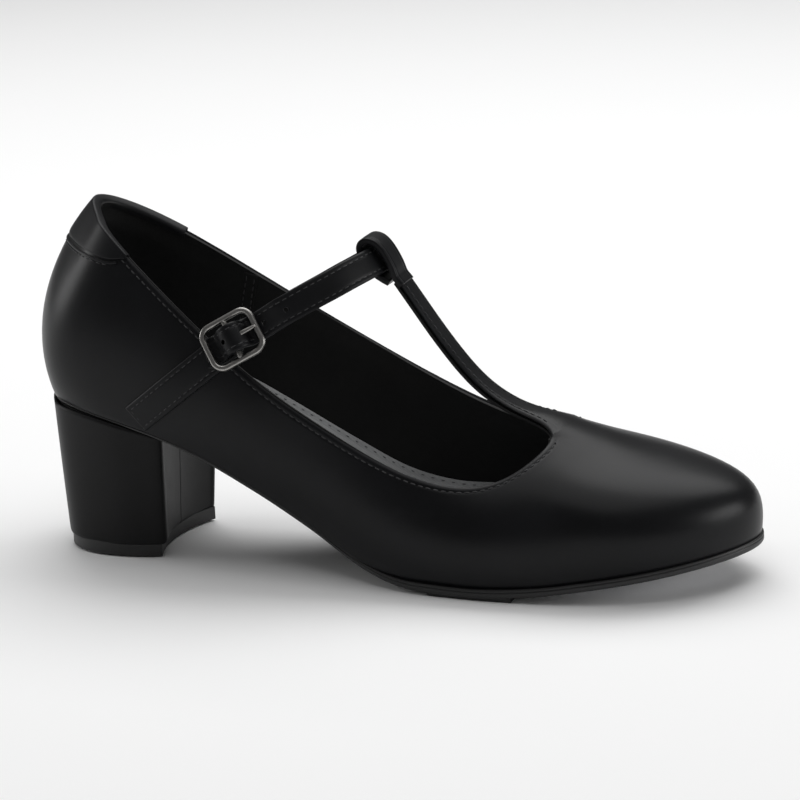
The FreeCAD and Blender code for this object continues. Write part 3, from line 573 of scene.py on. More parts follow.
# --------------------------------------------------------------------------- finishes
class Bench:
    """A material's node tree, to which nodes are added by type."""

    def __init__(self, tree: bpy.types.NodeTree) -> None:
        """Starts with an empty tree."""
        self.tree = tree
        tree.nodes.clear()

    def node(self, kind: str, settings: dict[str, object] | None = None,
             inputs: dict[object, object] | None = None, output: object = 0) -> "Value":
        """Adds one node.

        Args:
            kind: the node's type.
            settings: its properties, set first.
            inputs: values or links by socket name or number.
            output: which output to return.

        Returns:
            The output, ready for arithmetic.
        """
        made = self.tree.nodes.new(kind)
        for key, value in (settings or {}).items():
            setattr(made, key, value)
        for key, value in (inputs or {}).items():
            if isinstance(value, Value):
                self.tree.links.new(value.socket, made.inputs[key])
            else:
                made.inputs[key].default_value = value
        return Value(self, made.outputs[output])

    def place(self, stretch: Sequence[float] = (1, 1, 1)) -> "Value":
        """The point's place on its piece, in metres, stretched along each axis."""
        where = self.node("ShaderNodeTexCoord", output="Object")
        return self.node("ShaderNodeVectorMath", {"operation": "MULTIPLY"}, {0: where, 1: tuple(stretch)})

    def noise(self, size: float, detail: float = 3.0, rough: float = 0.5,
              stretch: Sequence[float] = (1, 1, 1)) -> "Value":
        """Cloudy noise with features of a size in millimetres, about 0 to 1."""
        return self.node("ShaderNodeTexNoise", {}, {"Vector": self.place(stretch), "Scale": 1000.0 / size,
                                                    "Detail": detail, "Roughness": rough})

    def cells(self, size: float, feature: str = "F1", stretch: Sequence[float] = (1, 1, 1)) -> "Value":
        """Distance within cells of a size in millimetres."""
        return self.node("ShaderNodeTexVoronoi", {"feature": feature},
                         {"Vector": self.place(stretch), "Scale": 1000.0 / size}, "Distance")

    def waves(self, size: float, direction: str, warp: float = 0.0) -> "Value":
        """Bands of a width in millimetres along an axis."""
        return self.node("ShaderNodeTexWave", {"bands_direction": direction},
                         {"Vector": self.place(), "Scale": 1000.0 / size / 3.14, "Distortion": warp,
                          "Detail": 1.0}, "Fac")

    def between(self, value: "Value", low: float, high: float) -> "Value":
        """Maps low..high to 0..1, clamped."""
        return self.node("ShaderNodeMapRange", {}, {"Value": value, "From Min": low, "From Max": high})

    def mix(self, share: "Value | float", first: object, second: object) -> "Value":
        """Blends two colours."""
        def colour(value: object) -> object:
            return value if isinstance(value, Value) else (*value, 1.0)
        return self.node("ShaderNodeMix", {"data_type": "RGBA"},
                         {0: share, 6: colour(first), 7: colour(second)}, 2)

    def bump(self, height: "Value", depth: float, strength: float = 1.0) -> "Value":
        """Relief of a depth in millimetres."""
        return self.node("ShaderNodeBump", {}, {"Height": height, "Distance": depth * MM,
                                                "Strength": strength})

    def surface(self, colour: "Value", rough: "Value", normal: "Value | None" = None,
                **constants: object) -> None:
        """Ends the tree with a Principled surface; constants go straight on its sockets."""
        inputs: dict[object, object] = {"Base Color": colour, "Roughness": rough}
        if normal is not None:
            inputs["Normal"] = normal
        inputs.update({key.replace("_", " "): value for key, value in constants.items()})
        shader = self.node("ShaderNodeBsdfPrincipled", {}, inputs)
        end = self.tree.nodes.new("ShaderNodeOutputMaterial")
        self.tree.links.new(shader.socket, end.inputs["Surface"])


class Value:
    """A shader socket that takes part in Python arithmetic."""

    def __init__(self, bench: Bench, socket: bpy.types.NodeSocket) -> None:
        """Wraps a socket of a bench."""
        self.bench = bench
        self.socket = socket

    def _math(self, operation: str, first: object, second: object) -> "Value":
        """One Math node on two values."""
        return self.bench.node("ShaderNodeMath", {"operation": operation}, {0: first, 1: second})

    def __add__(self, other: object) -> "Value":
        """Sum."""
        return self._math("ADD", self, other)

    __radd__ = __add__

    def __sub__(self, other: object) -> "Value":
        """Difference."""
        return self._math("SUBTRACT", self, other)

    def __rsub__(self, other: object) -> "Value":
        """Difference, the other way round."""
        return self._math("SUBTRACT", other, self)

    def __mul__(self, other: object) -> "Value":
        """Product."""
        return self._math("MULTIPLY", self, other)

    __rmul__ = __mul__


Colour = tuple[float, float, float]


@dataclass(frozen=True)
class Finish:
    """What every finish shares: a name, and a material that is made once."""

    name: str

    def paint(self, bench: Bench) -> None:
        """Fills the material's nodes."""
        raise NotImplementedError

    def material(self) -> bpy.types.Material:
        """The finish's material, made at its first use."""
        title = self.name + "_finish"
        made = bpy.data.materials.get(title)
        if made is None:
            made = bpy.data.materials.new(title)
            made.use_nodes = True
            self.paint(Bench(made.node_tree))
        return made

    def dress(self, *pieces: bpy.types.Object) -> None:
        """Puts the finish on pieces."""
        for piece in pieces:
            if not piece.data.materials:
                piece.data.materials.append(None)
            for slot in piece.material_slots:
                slot.material = self.material()


@dataclass(frozen=True)
class Leather(Finish):
    """Grained leather: fine cells, pores, cloudy tone and a semi-gloss top coat."""

    tone: Colour = (0.0042, 0.0043, 0.0049)
    tint: Colour = (0.0062, 0.0064, 0.0074)
    gloss: float = 0.32
    spread: float = 0.08
    cell: float = 0.55
    relief: float = 0.02
    shine: float = 0.17

    def paint(self, bench: Bench) -> None:
        """Fills the material's nodes."""
        cloud = bench.noise(22, 3.0, 0.55)
        grain = bench.cells(self.cell)
        pores = bench.noise(0.35, 2.0, 0.6)
        wear = bench.between(bench.noise(6, 4.0, 0.65), 0.55, 0.8)
        height = grain * 0.65 + pores * 0.5
        colour = bench.mix(bench.between(cloud, 0.35, 0.7), self.tone, self.tint)
        colour = bench.mix(wear * 0.1, colour, (0.02, 0.02, 0.022))
        rough = self.gloss + (cloud - 0.5) * self.spread + grain * 0.05 + wear * 0.03
        bench.surface(colour, rough, bench.bump(height, self.relief, 0.6), Specular_IOR_Level=self.shine)


@dataclass(frozen=True)
class Weave(Finish):
    """Plain woven cloth."""

    tone: Colour = (0.42, 0.425, 0.43)
    tint: Colour = (0.33, 0.335, 0.34)
    yarn: float = 0.45

    def paint(self, bench: Bench) -> None:
        """Fills the material's nodes."""
        warp = bench.waves(self.yarn, "X", 0.4)
        weft = bench.waves(self.yarn, "Y", 0.4)
        cloth = warp * 0.5 + weft * 0.5
        soil = bench.noise(9, 3.0)
        colour = bench.mix(cloth, self.tint, self.tone)
        colour = bench.mix(bench.between(soil, 0.45, 0.8) * 0.35, colour, (0.25, 0.25, 0.255))
        bench.surface(colour, 0.82 + soil * 0.12, bench.bump(cloth, 0.09, 0.8), Sheen_Weight=0.25)


class Grit(Enum):
    """What a bulk material is made up of."""

    FINE = "fine"
    GRANULES = "granules"
    FIBRES = "fibres"
    FOAM = "foam"


@dataclass(frozen=True)
class Bulk(Finish):
    """Rubber, plastic, board, cork or foam."""

    tone: Colour = (0.02, 0.02, 0.021)
    tint: Colour = (0.03, 0.03, 0.031)
    gloss: float = 0.5
    grit: Grit = Grit.FINE
    size: float = 0.5
    relief: float = 0.03

    def paint(self, bench: Bench) -> None:
        """Fills the material's nodes."""
        cloud = bench.noise(14, 3.0)
        grains = {Grit.FINE: lambda: bench.noise(self.size, 3.0, 0.6),
                  Grit.GRANULES: lambda: bench.cells(self.size),
                  Grit.FIBRES: lambda: bench.noise(self.size, 4.0, 0.7, (0.25, 1, 1)),
                  Grit.FOAM: lambda: 1 - bench.cells(self.size, "SMOOTH_F1")}[self.grit]()
        scuffs = bench.between(bench.noise(2.5, 5.0, 0.7, (0.3, 1, 1)), 0.6, 0.75)
        colour = bench.mix(bench.between(grains, 0.25, 0.75), self.tone, self.tint)
        colour = bench.mix(cloud * 0.3, colour, tuple(0.6 * c for c in self.tint))
        rough = self.gloss + (cloud - 0.5) * 0.12 + scuffs * 0.08
        bench.surface(colour, rough, bench.bump(grains, self.relief, 0.7))


@dataclass(frozen=True)
class Metal(Finish):
    """Cast, drawn or plated metal with fine scratches and dulled patches."""

    tone: Colour = (0.55, 0.55, 0.56)
    tint: Colour = (0.42, 0.42, 0.43)
    gloss: float = 0.28
    brush: Sequence[float] = (0.08, 1, 1)
    relief: float = 0.006

    def paint(self, bench: Bench) -> None:
        """Fills the material's nodes."""
        lines = bench.noise(0.25, 4.0, 0.7, self.brush)
        dull = bench.noise(5, 4.0, 0.6)
        colour = bench.mix(bench.between(dull, 0.4, 0.7), self.tone, self.tint)
        rough = self.gloss + lines * 0.08 + bench.between(dull, 0.45, 0.75) * 0.12
        bench.surface(colour, rough, bench.bump(lines, self.relief, 0.5), Metallic=1.0)


@dataclass(frozen=True)
class Twist(Finish):
    """Waxed polyester thread."""

    tone: Colour = (0.008, 0.008, 0.009)
    tint: Colour = (0.03, 0.03, 0.032)

    def paint(self, bench: Bench) -> None:
        """Fills the material's nodes."""
        strands = bench.noise(0.18, 2.0, 0.5, (1, 1, 1.6))
        colour = bench.mix(bench.between(strands, 0.35, 0.7), self.tone, self.tint)
        bench.surface(colour, 0.5 + strands * 0.2, bench.bump(strands, 0.04, 0.8))


@dataclass(frozen=True)
class Backdrop(Finish):
    """Pale studio floor."""

    tone: Colour = (0.9, 0.9, 0.9)

    def paint(self, bench: Bench) -> None:
        """Fills the material's nodes."""
        mottle = bench.noise(160, 2.0)
        colour = bench.mix(mottle, self.tone, tuple(0.985 * c for c in self.tone))
        bench.surface(colour, 0.85 + mottle * 0.1, Specular_IOR_Level=0.1)


UPPER_LEATHER = Leather("upper_leather")
PATCH_LEATHER = Leather("collar_leather", gloss=0.4, cell=0.5)
STRAP_LEATHER = Leather("strap_leather", gloss=0.38, cell=0.5, relief=0.025)
LINING_LEATHER = Leather("lining_leather", tone=(0.005, 0.005, 0.0049), tint=(0.0085, 0.0085, 0.0082),
                         gloss=0.6, cell=0.8, relief=0.06, shine=0.25)
HEEL_LEATHER = Leather("heel_leather", tone=(0.0045, 0.0045, 0.0047), tint=(0.0065, 0.0065, 0.007),
                       gloss=0.42, cell=0.45, relief=0.02)
SOCK_CLOTH = Weave("sock_cloth")
FOAM = Bulk("foam", (0.52, 0.49, 0.42), (0.42, 0.39, 0.33), 0.9, Grit.FOAM, 0.9, 0.15)
BOARD = Bulk("fibre_board", (0.30, 0.21, 0.13), (0.40, 0.30, 0.20), 0.8, Grit.FIBRES, 0.6, 0.05)
CORK = Bulk("cork", (0.30, 0.18, 0.09), (0.46, 0.31, 0.17), 0.85, Grit.GRANULES, 2.2, 0.15)
STIFFENER = Bulk("stiffener_sheet", (0.55, 0.52, 0.46), (0.47, 0.44, 0.39), 0.6, Grit.FIBRES, 0.8, 0.03)
HEEL_CORE = Bulk("heel_core", (0.03, 0.03, 0.032), (0.045, 0.045, 0.047), 0.5, Grit.FINE, 0.6, 0.02)
SOLE_RUBBER = Bulk("sole_rubber", (0.006, 0.006, 0.0062), (0.010, 0.010, 0.0105), 0.45, Grit.FINE, 0.35,
                   0.02)
LIFT_RUBBER = Bulk("lift_rubber", (0.007, 0.007, 0.0072), (0.012, 0.012, 0.0125), 0.5, Grit.FINE, 0.4, 0.03)
TAP_ALLOY = Metal("tap_alloy", (0.70, 0.70, 0.72), (0.50, 0.50, 0.52), 0.30, (0.15, 1, 1), 0.02)
STEEL = Metal("steel", (0.50, 0.50, 0.51), (0.38, 0.38, 0.39), 0.32)
GUNMETAL = Metal("gunmetal", (0.36, 0.35, 0.335), (0.22, 0.215, 0.205), 0.26, (1, 1, 0.1), 0.004)
THREAD = Twist("thread")
SOCK_THREAD = Twist("sock_thread", (0.10, 0.10, 0.105), (0.2, 0.2, 0.205))
FLOOR = Backdrop("studio_floor")


# --------------------------------------------------------------------------- upper
@dataclass
class Skin:
    """The outer face of the upper and the T-strap as one grid of points, in millimetres."""

    columns: int = 288
    bar_step: float = 1.0
    bar_drop: float = 2.0
    corner_passes: int = 1700
    corner_reach: float = 9.0
    ladder: Sequence[float] = (0.0, 0.35, 0.7, 1.1, 1.45, 1.7, 1.9, 2.1, 2.35, 2.7, 3.2, 3.9, 4.9, 6.2,
                               7.6, 9.2)

    def __post_init__(self) -> None:
        """Lays out the ribs, welds the T-strap to the throat and measures the grid."""
        each = self.columns // STATIONS
        self.u = np.arange(self.columns) / each
        near = np.array(self.ladder)
        far = near[-1] + (self._down(self.u)[-1] - near[-1]) * np.linspace(0, 1, 33)[1:, None]
        self.depth = np.vstack([np.repeat(near[:, None], self.columns, 1), far])
        ring = self.at_depth(self.u, self.depth)
        first = (TOE - 1) * each
        throat = np.arange(first, first + 2 * each + 1)
        bar = self._bar(ring[0, throat])
        self.rows, wide = len(ring), len(throat)
        self.points = np.concatenate([ring.reshape(-1, 3), bar.reshape(-1, 3)])
        self.faces = [[f[0], f[3], f[2], f[1]] for f in grid_faces(self.rows, self.columns, around=True)]
        base = self.rows * self.columns
        numbers = np.vstack([throat, base + np.arange(bar.size // 3).reshape(-1, wide)])
        flat = numbers.reshape(-1).tolist()
        self.faces += [[flat[k] for k in face] for face in grid_faces(len(numbers), wide)]
        self.bar_numbers = numbers
        ring_edge = np.arange(throat[-1], self.columns + throat[0] + 1) % self.columns
        order = [*numbers[:0:-1, -1], *ring_edge, *numbers[1:, 0]]
        edge = even_path(self.points[order], 0.15)
        rounded = smoothed(edge, self.corner_passes)
        near_edge, away = self._nearest(edge)
        self.points += (rounded - edge)[near_edge] * eased(1 - away / self.corner_reach)[:, None]
        self.out = self._directions()
        self.away = self._nearest(rounded)[1]

    def _nearest(self, edge: np.ndarray) -> tuple[np.ndarray, np.ndarray]:
        """Which point of an edge line is nearest to each grid point, and how far it is."""
        self.edge_tree = KDTree(len(edge))
        for i, p in enumerate(edge):
            self.edge_tree.insert(Vector(p), i)
        self.edge_tree.balance()
        found = [self.edge_tree.find(Vector(p)) for p in self.points]
        return np.array([f[1] for f in found]), np.array([f[2] for f in found])

    def _bar(self, throat: np.ndarray) -> np.ndarray:
        """Rows of the T-strap above the throat.

        Args:
            throat: the points of the top line that the T-strap grows from.

        Returns:
            Points by row and column, without the throat itself.
        """
        table = smooth_path(TBAR, 120)
        path = np.column_stack([table[:, 0] - HEEL_MID, 0 * table[:, 0], table[:, 1], table[:, 2]])
        path = even_path(path, self.bar_step)
        reach = np.arange(len(path)) * self.bar_step
        c = np.linspace(-1, 1, len(throat))
        crown = np.clip(1 - reach / 18, 0, 1)[:, None]
        rows = np.stack([path[:, 0:1] + 0 * c, path[:, 3:4] * c,
                         path[:, 2:3] - (self.bar_drop * crown + 0.25) * c**2 + 0.25 * (1 - crown)], -1)
        blend = (np.clip(1 - reach / 8, 0, 1) ** 2)[:, None, None]
        return (rows * (1 - blend) + throat[None] * blend)[1:]

    def _directions(self) -> np.ndarray:
        """Outward direction at each point."""
        faces = np.array(self.faces)
        p = self.points[faces]
        normal = np.cross(p[:, 2] - p[:, 0], p[:, 3] - p[:, 1])
        total = np.zeros_like(self.points)
        for k in range(4):
            np.add.at(total, faces[:, k], normal)
        return unit(total)

    def smoothstep(self, reach: float) -> np.ndarray:
        """Goes from 0 at the free edge to 1 at a distance from it."""
        return eased(self.away / reach)

    @staticmethod
    def _down(u: np.ndarray) -> np.ndarray:
        """Distances below the top line along the ribs, at each of RIB_SHARES."""
        steps = np.linalg.norm(np.diff(LAST.point(u[None], RIB_SHARES[:, None]), axis=0), axis=-1)
        return np.vstack([np.zeros(len(u)), np.cumsum(steps, axis=0)])

    def at_depth(self, u: np.ndarray, depth: np.ndarray) -> np.ndarray:
        """Points at station numbers, a row for each row of distances below the top line."""
        down = self._down(u)
        r = np.stack([np.interp(depth[:, j], down[:, j], RIB_SHARES) for j in range(len(u))], 1)
        return LAST.point(u[None], r)

    def seam_path(self, side: int, inset: float, last_station: float) -> np.ndarray:
        """Sewing line beside the free edge, from the top of the T-strap to the back.

        Args:
            side: -1 for the outer side, 1 for the inner.
            inset: distance from the free edge.
            last_station: distance in stations from the back at which it stops.

        Returns:
            Points in millimetres.
        """
        column = 0 if side < 0 else -1
        bar = self.points[self.bar_numbers[:4:-1, column]].copy()
        bar[:, 1] -= side * inset
        u = np.linspace(TOE + side * 1.25, last_station if side < 0 else STATIONS - last_station, 120)
        ring = self.at_depth(u, np.full((1, len(u)), inset))[0]
        path = even_path(np.concatenate([bar, ring]), 0.8)
        path = smoothed(path, 6)
        for i, p in enumerate(path):
            nearest, _, gap = self.edge_tree.find(Vector(p))
            path[i] = np.array(nearest) + (p - np.array(nearest)) * (inset / max(gap, 0.2))
        return smoothed(path, 2)


# The collar patch over the rim: its section there, out of the leather and up, and the stations
# from the back with the share of the rib at which the patch starts at each.
PATCH_TURN = ((0.6, 0.3), (0.35, 0.55), (-0.2, 0.68), (-1.0, 0.72), (-1.9, 0.7), (-2.6, 0.5),
              (-3.0, 0.1), (-3.15, -0.6), (-3.25, -1.8))
PATCH_EDGE = ((0, 0.35, 0.66, 0.96, 1.26, 1.45, 1.63, 1.74, 1.83, 1.91, 1.97, 2.02, 2.06, 2.12),
              (0.822, 0.832, 0.844, 0.852, 0.858, 0.862, 0.87, 0.879, 0.891, 0.909, 0.929, 0.95, 0.97, 0.998))


def patch_low(u: np.ndarray) -> np.ndarray:
    """Share of the rib height at which the collar patch starts."""
    return np.interp(np.where(u < 0, -1.05 * u, u), PATCH_EDGE[0], PATCH_EDGE[1])


@dataclass
class Upper:
    """Leather upper with its T-strap, linings, collar patch and seams."""

    leather: float = 1.5
    lining: float = 0.9
    groove_inset: float = 2.0
    groove_depth: float = 0.12
    patch_reach: float = 2.1
    lean: float = 1.05
    swell: float = 1.1
    pad_reach: float = 1.75
    pad_gap: float = 1.6
    pad_thick: float = 0.75
    thread: Thread = Thread(2.5, 1.7, 0.22, -0.07)

    def build(self) -> None:
        """Makes every mesh of the upper."""
        self.skin = Skin()
        self.outer = self._outer()
        self.inner = self._inner()
        self.patch = self._patch()
        self.pad = self._collar_pad()
        self.piping = self._piping()
        self.tape = self._back_tape()
        self.seams = self._seams()

    def _outer(self) -> bpy.types.Object:
        """The leather, with a sewn groove and a rolled edge along the top line and T-strap."""
        skin = self.skin
        d = skin.away
        x, y, z = skin.points.T
        wave = 0.05 * np.sin(x / 9.0 + 0.7) * np.sin(z / 7.0 + y / 13)
        relief = (-self.groove_depth * np.exp(-(((d - self.groove_inset) / 0.3) ** 2))
                  - 0.5 * np.clip(1 - d / 1.2, 0, 1) ** 2 + wave * skin.smoothstep(8))
        piece = mesh_piece("upper_leather", skin.points + skin.out * relief[:, None], skin.faces)
        thicken(piece, self.leather, 0.3)
        return piece

    def _inner(self) -> bpy.types.Object:
        """The lining, which leans on the leather at the rim and swells over the collar pad."""
        skin = self.skin
        ring = skin.rows * skin.columns
        depth = np.full(len(skin.points), self.leather + 0.05)
        depth[:ring] += self.lean * skin.smoothstep(9)[:ring]
        u = np.broadcast_to(skin.u[None, :], skin.depth.shape).reshape(-1)
        back = np.minimum(u, STATIONS - u)
        swell = np.clip(1 - back / 2.4, 0, 1) ** 0.7 * np.exp(-(((skin.depth.reshape(-1) - 8.5) / 4.2) ** 2))
        depth[:ring] += self.swell * swell
        piece = mesh_piece("upper_lining", skin.points - skin.out * depth[:, None], skin.faces)
        thicken(piece, self.lining, 0.25)
        return piece

    def _patch(self) -> bpy.types.Object:
        """The collar patch, which wraps over the rim at the back."""
        u = np.linspace(-self.patch_reach + 0.1, self.patch_reach, 81)
        share = np.linspace(0, 1, 20)[:, None]
        r = patch_low(u)[None] * (1 - share) + 0.999 * share
        base, out = LAST.point(u[None], r), LAST.normal(u[None], r)
        height = np.interp(np.arange(20), [0, 1, 2, 19], [0.48, 0.6, 0.64, 0.64])[:, None, None]
        rows = [base + out * height]
        rim, away = base[-1], out[-1]
        up = unit(base[-1] - base[-2])
        rows += [(rim + away * side + up * rise)[None] for side, rise in PATCH_TURN]
        points = np.concatenate(rows)
        piece = mesh_piece("collar_patch_leather", points.reshape(-1, 3), grid_faces(*points.shape[:2]))
        thicken(piece, 0.55, 0.2)
        return piece

    def _collar_pad(self) -> bpy.types.Object:
        """Lens of foam between the leather and the lining at the back of the collar."""
        u = np.linspace(-self.pad_reach, self.pad_reach, 57)
        s = np.linspace(0, 1, 22)[:, None]
        r = (0.73 + 0.05 * u**2)[None] * (1 - s) + 0.965 * s
        base, out = LAST.point(u[None], r), LAST.normal(u[None], r)
        across = np.cos(u[None] / self.pad_reach * math.pi / 2 * 0.96)
        lens = (np.sin(math.pi * np.clip(s, 0.02, 0.98)) * across) ** 0.6
        front = base - out * (self.pad_gap - 0.04)
        back = base - out * (self.pad_gap + self.pad_thick * lens[..., None])
        n, m = r.shape
        rim = [i * m for i in range(n)] + [(n - 1) * m + j for j in range(1, m)]
        rim += [i * m + m - 1 for i in range(n - 2, -1, -1)] + [j for j in range(m - 2, 0, -1)]
        faces = grid_faces(n, m) + [f[::-1] for f in grid_faces(n, m, start=n * m)]
        faces += [[a, b, b + n * m, a + n * m] for a, b in zip(rim, rim[1:] + rim[:1])]
        points = np.concatenate([front.reshape(-1, 3), back.reshape(-1, 3)])
        return mesh_piece("collar_padding", points, faces, closed=True)

    @staticmethod
    def _below_patch(u: np.ndarray, gap: np.ndarray | float) -> np.ndarray:
        """Points at station numbers, a distance down the ribs from the patch's lower edge."""
        low = patch_low(u)
        edge = LAST.point(u, low)
        return edge + unit(LAST.point(u, low - 0.01) - edge) * np.asarray(gap)[..., None]

    def _piping(self) -> bpy.types.Object:
        """Raised edge of the quarter just below the patch."""
        u = np.linspace(-1.88, 2.0, 141)
        gap = np.interp(np.abs(u), [0, 1.4, 2.0], [1.75, 1.5, 1.1])
        spot, out = laid_on(surface_tree(self.outer), self._below_patch(u, gap))
        return ribbon("quarter_piping", spot + out * 0.05, out, superellipse(1.0, 1.0, 2.2, 12))

    def _back_tape(self) -> bpy.types.Object:
        """Tape over the lining's seam on the inner side."""
        r = np.linspace(0.12, 0.985, 60)
        inward = -LAST.normal(TAPE_STATION, r)
        spot, _ = laid_on(surface_tree(self.inner), LAST.point(TAPE_STATION, r) + inward * 3.6)
        return ribbon("lining_tape", spot + inward * 0.12, inward, band_profile(5.0, 0.3, 0.8, 0.05, 0.02))

    def _seams(self) -> bpy.types.Object:
        """Every row of stitches on the upper."""
        leather, patch = surface_tree(self.outer), surface_tree(self.patch)
        rows = [laid_on(leather, self.skin.seam_path(-1, self.groove_inset, 2.04)),
                laid_on(leather, self.skin.seam_path(1, self.groove_inset, 2.04))]
        u = np.linspace(-1.84, 1.95, 120)
        gap = np.interp(np.abs(u), [0, 1.4, 2.0], [1.0, 0.9, 0.6]) * 2.75
        rows.append(laid_on(leather, self._below_patch(u, gap)))
        rows.append(laid_on(patch, self._below_patch(u, -1.1)))
        tape = surface_tree(self.tape)
        r = np.linspace(0.14, 0.97, 60)
        for shift in (-0.04, 0.04):
            spot = LAST.point(TAPE_STATION + shift, r) - LAST.normal(TAPE_STATION, r) * 3.9
            rows.append(laid_on(tape, spot))
        return self.thread.sew("upper_stitches", rows)

    def dress(self) -> None:
        """Finishes, bodies and the CAD nodes that the pieces stand for."""
        for piece, finish, slot_name in ((self.outer, UPPER_LEATHER, "upper_leather"),
                                         (self.inner, LINING_LEATHER, "lining_leather"),
                                         (self.patch, PATCH_LEATHER, "upper_leather"),
                                         (self.pad, FOAM, "foam"),
                                         (self.piping, UPPER_LEATHER, "upper_leather"),
                                         (self.tape, LINING_LEATHER, "lining_leather"),
                                         (self.seams, THREAD, "upper_leather")):
            settle(piece, finish, "shoe")
        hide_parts("vamp", "quarter_outer", "quarter_inner", "t_strap")
        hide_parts("vamp_lining", "quarter_lining", "t_strap_lining")
        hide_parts("collar_patch")
        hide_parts("collar_foam")


def settle(piece: bpy.types.Object, finish: Finish, body: str | None) -> None:
    """Dresses a piece and puts it on its body.

    Args:
        piece: the piece.
        finish: its finish.
        body: the body it rides on, or None to leave it on no body.
    """
    finish.dress(piece)
    if body:
        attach(piece, body)
    LOG.info("%s: %d points", piece.name, len(piece.data.vertices))


def show_nodes(shown: dict[str, tuple[Finish, float]]) -> None:
    """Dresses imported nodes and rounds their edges, each by its width in millimetres."""
    for name, (finish, width) in shown.items():
        finish.dress(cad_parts[name])
        bevel_edges(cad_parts[name], width)


# --------------------------------------------------------------------------- straps
def strap_frames(table: Sequence[Sequence[float]], steps: int) -> tuple[np.ndarray, np.ndarray]:
    """Centre points and outward directions of a strap round the ankle."""
    rows = smooth_path(table, steps)
    flat = unit(np.stack([(rows[:, 0] - ANKLE_X) / ANKLE_REACH, rows[:, 1] / ANKLE_HALF, 0 * rows[:, 0]], 1))
    lean = np.radians(rows[:, 3:4])
    out = flat * np.cos(lean) + np.array([0, 0, 1.0]) * np.sin(lean)
    return rows[:, :3] - np.array([HEEL_MID, 0, 0]), out


def side_strip(side: int, start: Sequence[float], end: Sequence[float], steps: int,
               lift: float) -> tuple[np.ndarray, np.ndarray]:
    """Frames of a strip that lies on the side of the upper.

    Args:
        side: -1 for the outer side, 1 for the inner.
        start: distance and height where it starts.
        end: the same where it ends.
        steps: how many frames.
        lift: distance outside the leather.

    Returns:
        Points and outward directions.
    """
    u, r = (STRIP_STATION if side < 0 else STATIONS - STRIP_STATION), STRIP_SHARE
    points, outs = [], []
    for s in np.linspace(0, 1, steps):
        x = start[0] + (end[0] - start[0]) * s
        z = start[1] + (end[1] - start[1]) * s
        u, r = LAST.on_side(x - HEEL_MID, z, u, r)
        out = LAST.normal(u, r)
        points.append(LAST.point(u, r) + out * lift)
        outs.append(out)
    return np.array(points), np.array(outs)


def even_frames(points: np.ndarray, out: np.ndarray, spacing: float,
                passes: int) -> tuple[np.ndarray, np.ndarray]:
    """Resamples strap frames evenly and eases their bends."""
    both = even_path(np.column_stack([points, out]), spacing)
    both = smoothed(both, passes)
    return both[:, :3], unit(both[:, 3:])


@dataclass
class Buckle:
    """Frame with a centre bar, and its prong."""

    length: float = 19.2
    width: float = 16.2
    bar: float = 1.9
    thick: float = 2.0
    corner: float = 4.4

    def __post_init__(self) -> None:
        """Works out the buckle's own axes."""
        self.centre = np.array(BUCKLE_AT) - np.array([HEEL_MID, 0, 0])
        last = np.array(STRAP_OUT[-1][:3]) - np.array([HEEL_MID, 0, 0])
        self.along = unit(last - self.centre)
        out = np.array(BUCKLE_FACE)
        self.out = unit(out - self.along * (out @ self.along))
        self.across = np.cross(self.out, self.along)

    def place(self, local: Sequence[Sequence[float]]) -> np.ndarray:
        """Turns (along, across, out) distances into points."""
        p = np.array(local, float)
        return self.centre + p[:, :1] * self.along + p[:, 1:2] * self.across + p[:, 2:3] * self.out

    def in_line(self, outline: Sequence[Sequence[float]], steps: int) -> np.ndarray:
        """Smooth path down the buckle's middle through (along, out) distances."""
        return self.place([(a, 0, h) for a, h in smooth_path(outline, steps)])

    def build(self) -> None:
        """Sweeps the frame, turns the bar and shapes the prong."""
        half_l, half_w = self.length / 2 - self.bar / 2, self.width / 2 - self.bar / 2
        r = self.corner - self.bar / 2
        loop = []
        for cx, cy, a in ((half_l - r, half_w - r, 0), (r - half_l, half_w - r, 90),
                          (r - half_l, r - half_w, 180), (half_l - r, r - half_w, 270)):
            for t in np.radians(np.linspace(a, a + 90, 14)):
                loop.append((cx + r * math.cos(t), cy + r * math.sin(t), 0))
        loop = np.array(loop + loop[:1])
        loop = even_path(loop, 0.45)[:-1]
        points = self.place(loop)
        out = np.repeat(self.out[None], len(points), 0)
        section = superellipse(self.bar, self.thick, 2.7, 24)
        self.frame = ribbon("buckle_ring", points, out, section, closed=True)
        bar = self.place([(0, y, 0) for y in np.linspace(-self.width / 2 + 1.2, self.width / 2 - 1.2, 16)])
        self.bar_piece = ribbon("buckle_bar", bar, np.repeat(self.out[None], 16, 0), tube_profile(0.9, 20))
        self.prong = self._prong()

    def _prong(self) -> bpy.types.Object:
        """The prong: a hook round the bar and a tongue that rests on the frame."""
        hook = [(1.42 * math.cos(a), 1.42 * math.sin(a)) for a in np.radians(np.linspace(60, -235, 22))]
        points = self.in_line([*hook[::-1], *TONGUE], 120)
        side = np.cross(unit(np.gradient(points, axis=0)), self.across)
        reach = np.linspace(0, 1, len(points))
        widths = np.interp(reach, [0, 0.5, 0.86, 0.97, 1.0], [1.15, 1.1, 0.95, 0.75, 0.35])
        return ribbon("buckle_tongue", points, -side, superellipse(1.5, 0.8, 2.4, 16), widths)

    def dress(self) -> None:
        """Finishes, bodies and replaced nodes."""
        for piece, body in ((self.frame, "buckle"), (self.bar_piece, "buckle"), (self.prong, "prong")):
            settle(piece, GUNMETAL, body)
        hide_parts("buckle_frame")
        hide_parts("buckle_prong")


